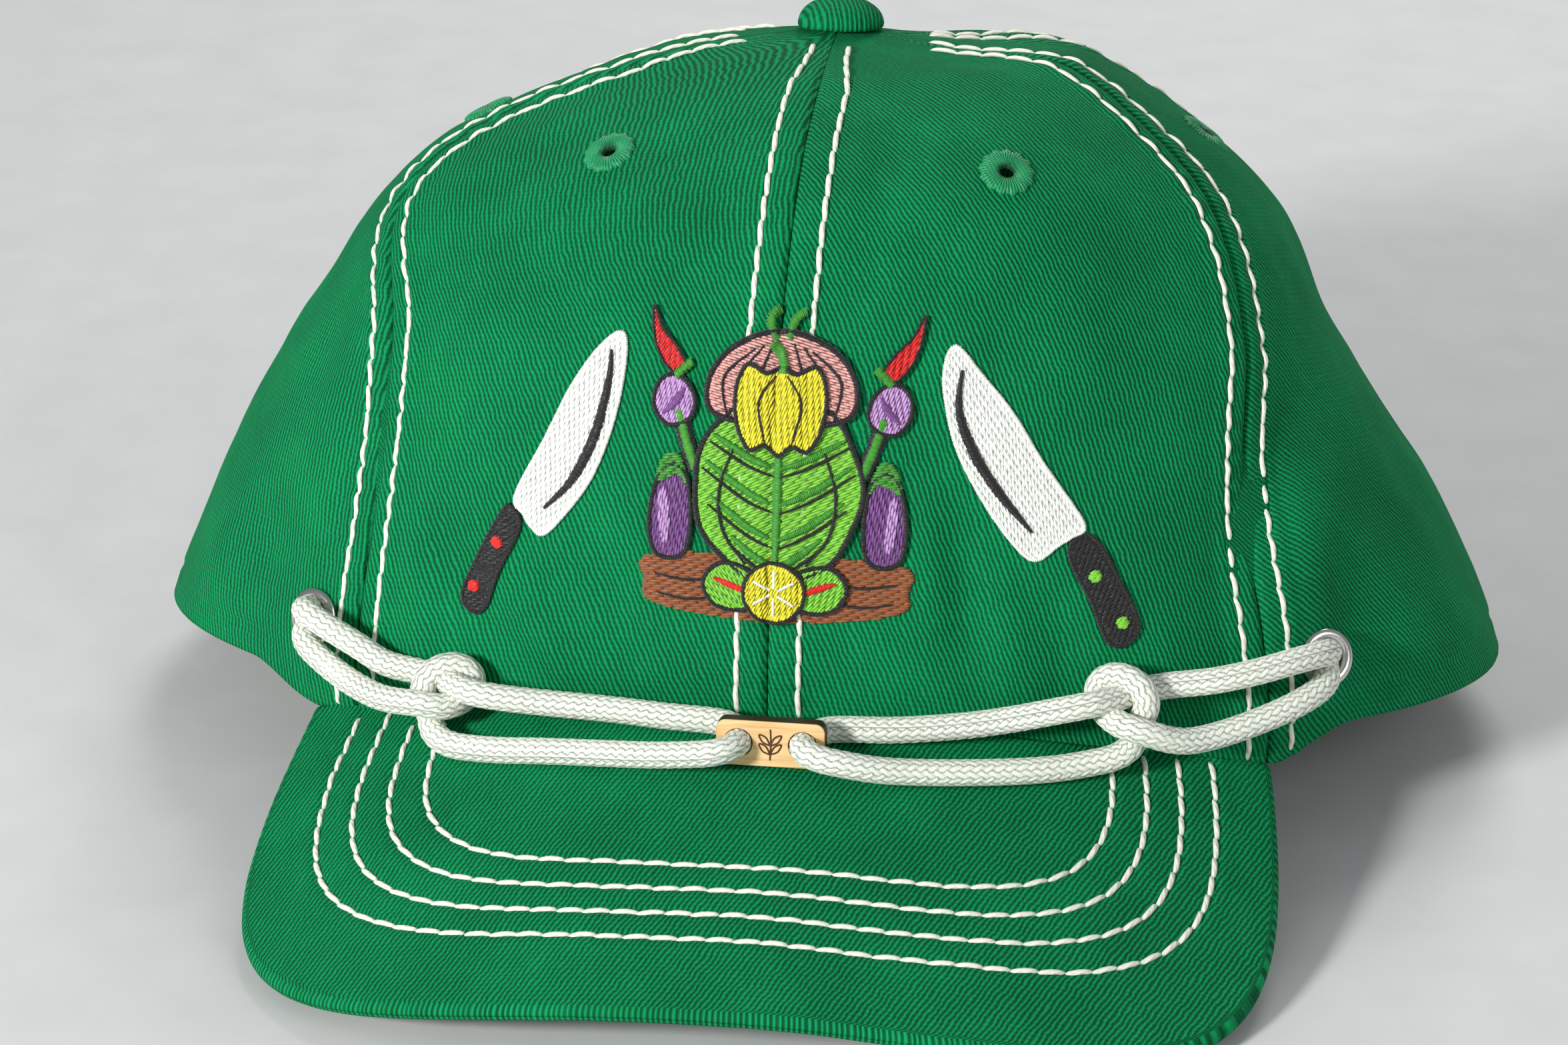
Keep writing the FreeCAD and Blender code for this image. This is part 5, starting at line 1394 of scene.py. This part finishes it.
def tag_mark():
    """Small generic leaf sprig burnt into the tag's front."""
    sprig = [[(0, -2.7), (0.1, 0.2), (0, 2.5)]]
    for way in (-1, 1):
        for low in (-1.7, -0.2):
            sprig.append(mirrored(way, (0, low), (1.2, low + 0.5), (1.8, low + 1.7), (0.7, low + 1.3), (0, low)))
    # Aside and forwards across a stroke.
    lanes = [(-1, -1.30), (-1, -1.425), (0, -1.44), (1, -1.425), (1, -1.30)]
    verts, faces = [], []
    for stroke in sprig:
        line, _ = even(curve_through(stroke, False), 0.12)
        ahead = unit(np.gradient(line, axis=0))
        side = np.stack([-ahead[:, 1], ahead[:, 0]], 1) * 0.15
        base = sum(len(v) for v in verts)
        grid = np.stack([np.insert(line + k * side, 1, y, axis=1) for k, y in lanes], 1)
        verts.append(grid.reshape(-1, 3) + TAG_MIDDLE)
        ends = base + np.arange(len(lanes))
        faces += grid_faces(len(line), len(lanes), base, wrap=True).tolist()
        faces += [ends, ends[::-1] + (len(line) - 1) * len(lanes)]
    piece(new_object("tag_leaf_mark", np.concatenate(verts), faces, [BURN]), "maple")


wood_tag()
tag_mark()

# ---- back strap, tab and buckle

BUCKLE_BEARING = math.radians(199.5)
STRAP_LOW, STRAP_WIDTH, STRAP_ROWS = 5.0, 19.0, (0.13, 0.87)
TAB_MIDDLE, TAB_WIDTH = 14.5, 18.0


def strap_edge(up):
    """Edge roll and the two sewn lines of a strap, by the share of its width."""
    edge = np.minimum(up, 1 - up)
    return -0.5 * (1 - smooth(edge, 0.0, 0.05)) - 0.22 * np.exp(-((edge - STRAP_ROWS[0]) / 0.025) ** 2)


def level_row(bearing, height, lift):
    """Line for a stitch row, at heights over the rim's plane and a distance from the plain crown."""
    bearing, fraction = np.broadcast_arrays(bearing, np.asarray(height, float) / RISE)
    normals = crown_normal(bearing, fraction)
    return bare_crown(bearing, fraction) + normals * lift, normals


def back_strap():
    turn, up = np.meshgrid(np.linspace(136, 226, 420), np.linspace(0, 1, 33))
    bearing, fraction = np.radians(turn), (STRAP_LOW + STRAP_WIDTH * up) / RISE
    lift = 0.3 - 5.0 * smooth(turn, 196, 206)            # the strap's end goes inside past the buckle
    wave = 0.10 * ripple(bare_crown(bearing, fraction), 16, 41)
    crown_strip("back_strap", "crown_twill", bearing, fraction, lift + 1.2 + strap_edge(up) + wave,
                lift + 0.05 + wave, TWILL)
    rows = [level_row(np.radians(np.linspace(137, 197, 500)), STRAP_LOW + STRAP_WIDTH * level, 1.15)
            for level in STRAP_ROWS]
    sew("back_strap_stitches", "crown_twill", rows, 2.6, 2.5, 0.2, 0.1, GREEN_THREAD)


def buckle_tab():
    """Tab folded round the buckle's end bar and sewn down beyond it."""
    path = curve_through([(-27.5, 0.95), (-22, 0.95), (-16, 0.95), (-11.6, 0.95), (-8.9, 1.5), (-7.9, 3.5),
                          (-8.9, 5.3), (-11.0, 5.6), (-13.2, 4.6), (-15.2, 2.5), (-18, 2.15), (-27.3, 2.15)],
                         False)
    path, run = even(path, 0.35)
    ahead = unit(np.gradient(path, axis=0))
    out = np.stack([ahead[:, 1], -ahead[:, 0]], 1)
    up = np.linspace(0, 1, 27)
    height = TAB_MIDDLE + TAB_WIDTH * (up - 0.5)
    fraction = np.broadcast_to((height / RISE)[:, None], (len(up), len(path)))
    step = 1e-3
    metric = np.linalg.norm(bare_crown(BUCKLE_BEARING + step, 0.13) - bare_crown(BUCKLE_BEARING - step, 0.13))
    metric = metric / (2 * step)                         # millimetres for one radian of bearing
    skins = []
    for offset in (0.55, -0.55):
        across = path + out * offset
        bearing = np.broadcast_to(BUCKLE_BEARING - across[:, 0] / metric, fraction.shape)
        lift = across[:, 1] + (strap_edge(up)[:, None] * np.sign(offset) * 0.8)
        skins.append((bare_crown(bearing, fraction) + crown_normal(bearing, fraction) * lift[..., None])[:, ::-1])
    weave = np.stack(np.broadcast_arrays(run[None, :], height[:, None]), -1)
    cloth_piece("buckle_tab", "crown_twill", *skins, TWILL, weave[:, ::-1])
    ends, levels, row_lift = (-17.5, -25.5), (6.8, 22.2), 2.7
    rows = [level_row(BUCKLE_BEARING - x / metric, np.linspace(*levels, 120), row_lift) for x in ends]
    rows += [level_row(BUCKLE_BEARING - np.linspace(*ends, 60) / metric, z, row_lift) for z in levels]
    sew("buckle_tab_stitches", "crown_twill", rows, 2.4, 2.3, 0.22, 0.1, GREEN_THREAD)


def backing():
    """Soft stabiliser left behind the embroidery, inside the crown."""
    turn, rise = np.meshgrid(np.radians(np.linspace(-44, 44, 90)), np.linspace(0.31, 0.66, 50))
    points = bare_crown(turn, rise)
    lift = -1.85 + (0.10 * ripple(points, 9, 51) + 0.05 * ripple(points, 3.5, 52))
    crown_strip("embroidery_backing", "backing_fleece", turn, rise, lift, lift - 0.3, FLEECE)


back_strap()
buckle_tab()
backing()

# ---- finishes of the hard pieces

HARD = {"button_shell": STEEL, "button_back": STEEL, "visor_board": PLASTIC, "buckle_frame": BRUSHED,
        "buckle_pin": BRUSHED, "buckle_lever": BRUSHED}
for node, finish in HARD.items():
    for material_slot in bpy.data.objects[node].material_slots:
        material_slot.material = finish


# ---- light, floor and the rest

def plain_floor():
    size = 3.0
    mesh = bpy.data.meshes.new("floor")
    mesh.from_pydata([(-size, -size, 0), (size, -size, 0), (size, size, 0), (-size, size, 0)], [], [(0, 1, 2, 3)])
    mesh.materials.append(FLOOR)
    floor = show(bpy.data.objects.new("floor", mesh))
    floor.location.z = -0.0004                           # just under the lowest cloth


def light(name, place, target_height, size, power):
    """Round area light aimed at a point over the row's origin."""
    data = bpy.data.lights.new(name, "AREA")
    data.shape = "DISK"
    data.size = size
    data.energy = power
    lamp = show(bpy.data.objects.new(name, data))
    lamp.location = place
    lamp.rotation_mode = "QUATERNION"
    lamp.rotation_quaternion = (Vector((0, 0, target_height)) - Vector(place)).to_track_quat("-Z", "Y")


def studio():
    world = bpy.data.worlds.new("studio")
    world.use_nodes = True
    background = world.node_tree.nodes["Background"].inputs
    background["Color"].default_value = (0.9, 0.94, 1.0, 1)
    background["Strength"].default_value = 0.28
    bpy.context.scene.world = world
    bpy.context.scene.view_settings.view_transform = "Standard"
    light("key", (-0.70, -0.95, 0.56), 0.05, 0.22, 17.5)
    light("fill", (0.9, -0.6, 0.6), 0.05, 0.8, 3.0)
    light("back", (0.1, 0.9, 0.8), 0.08, 0.6, 6.0)


plain_floor()
studio()
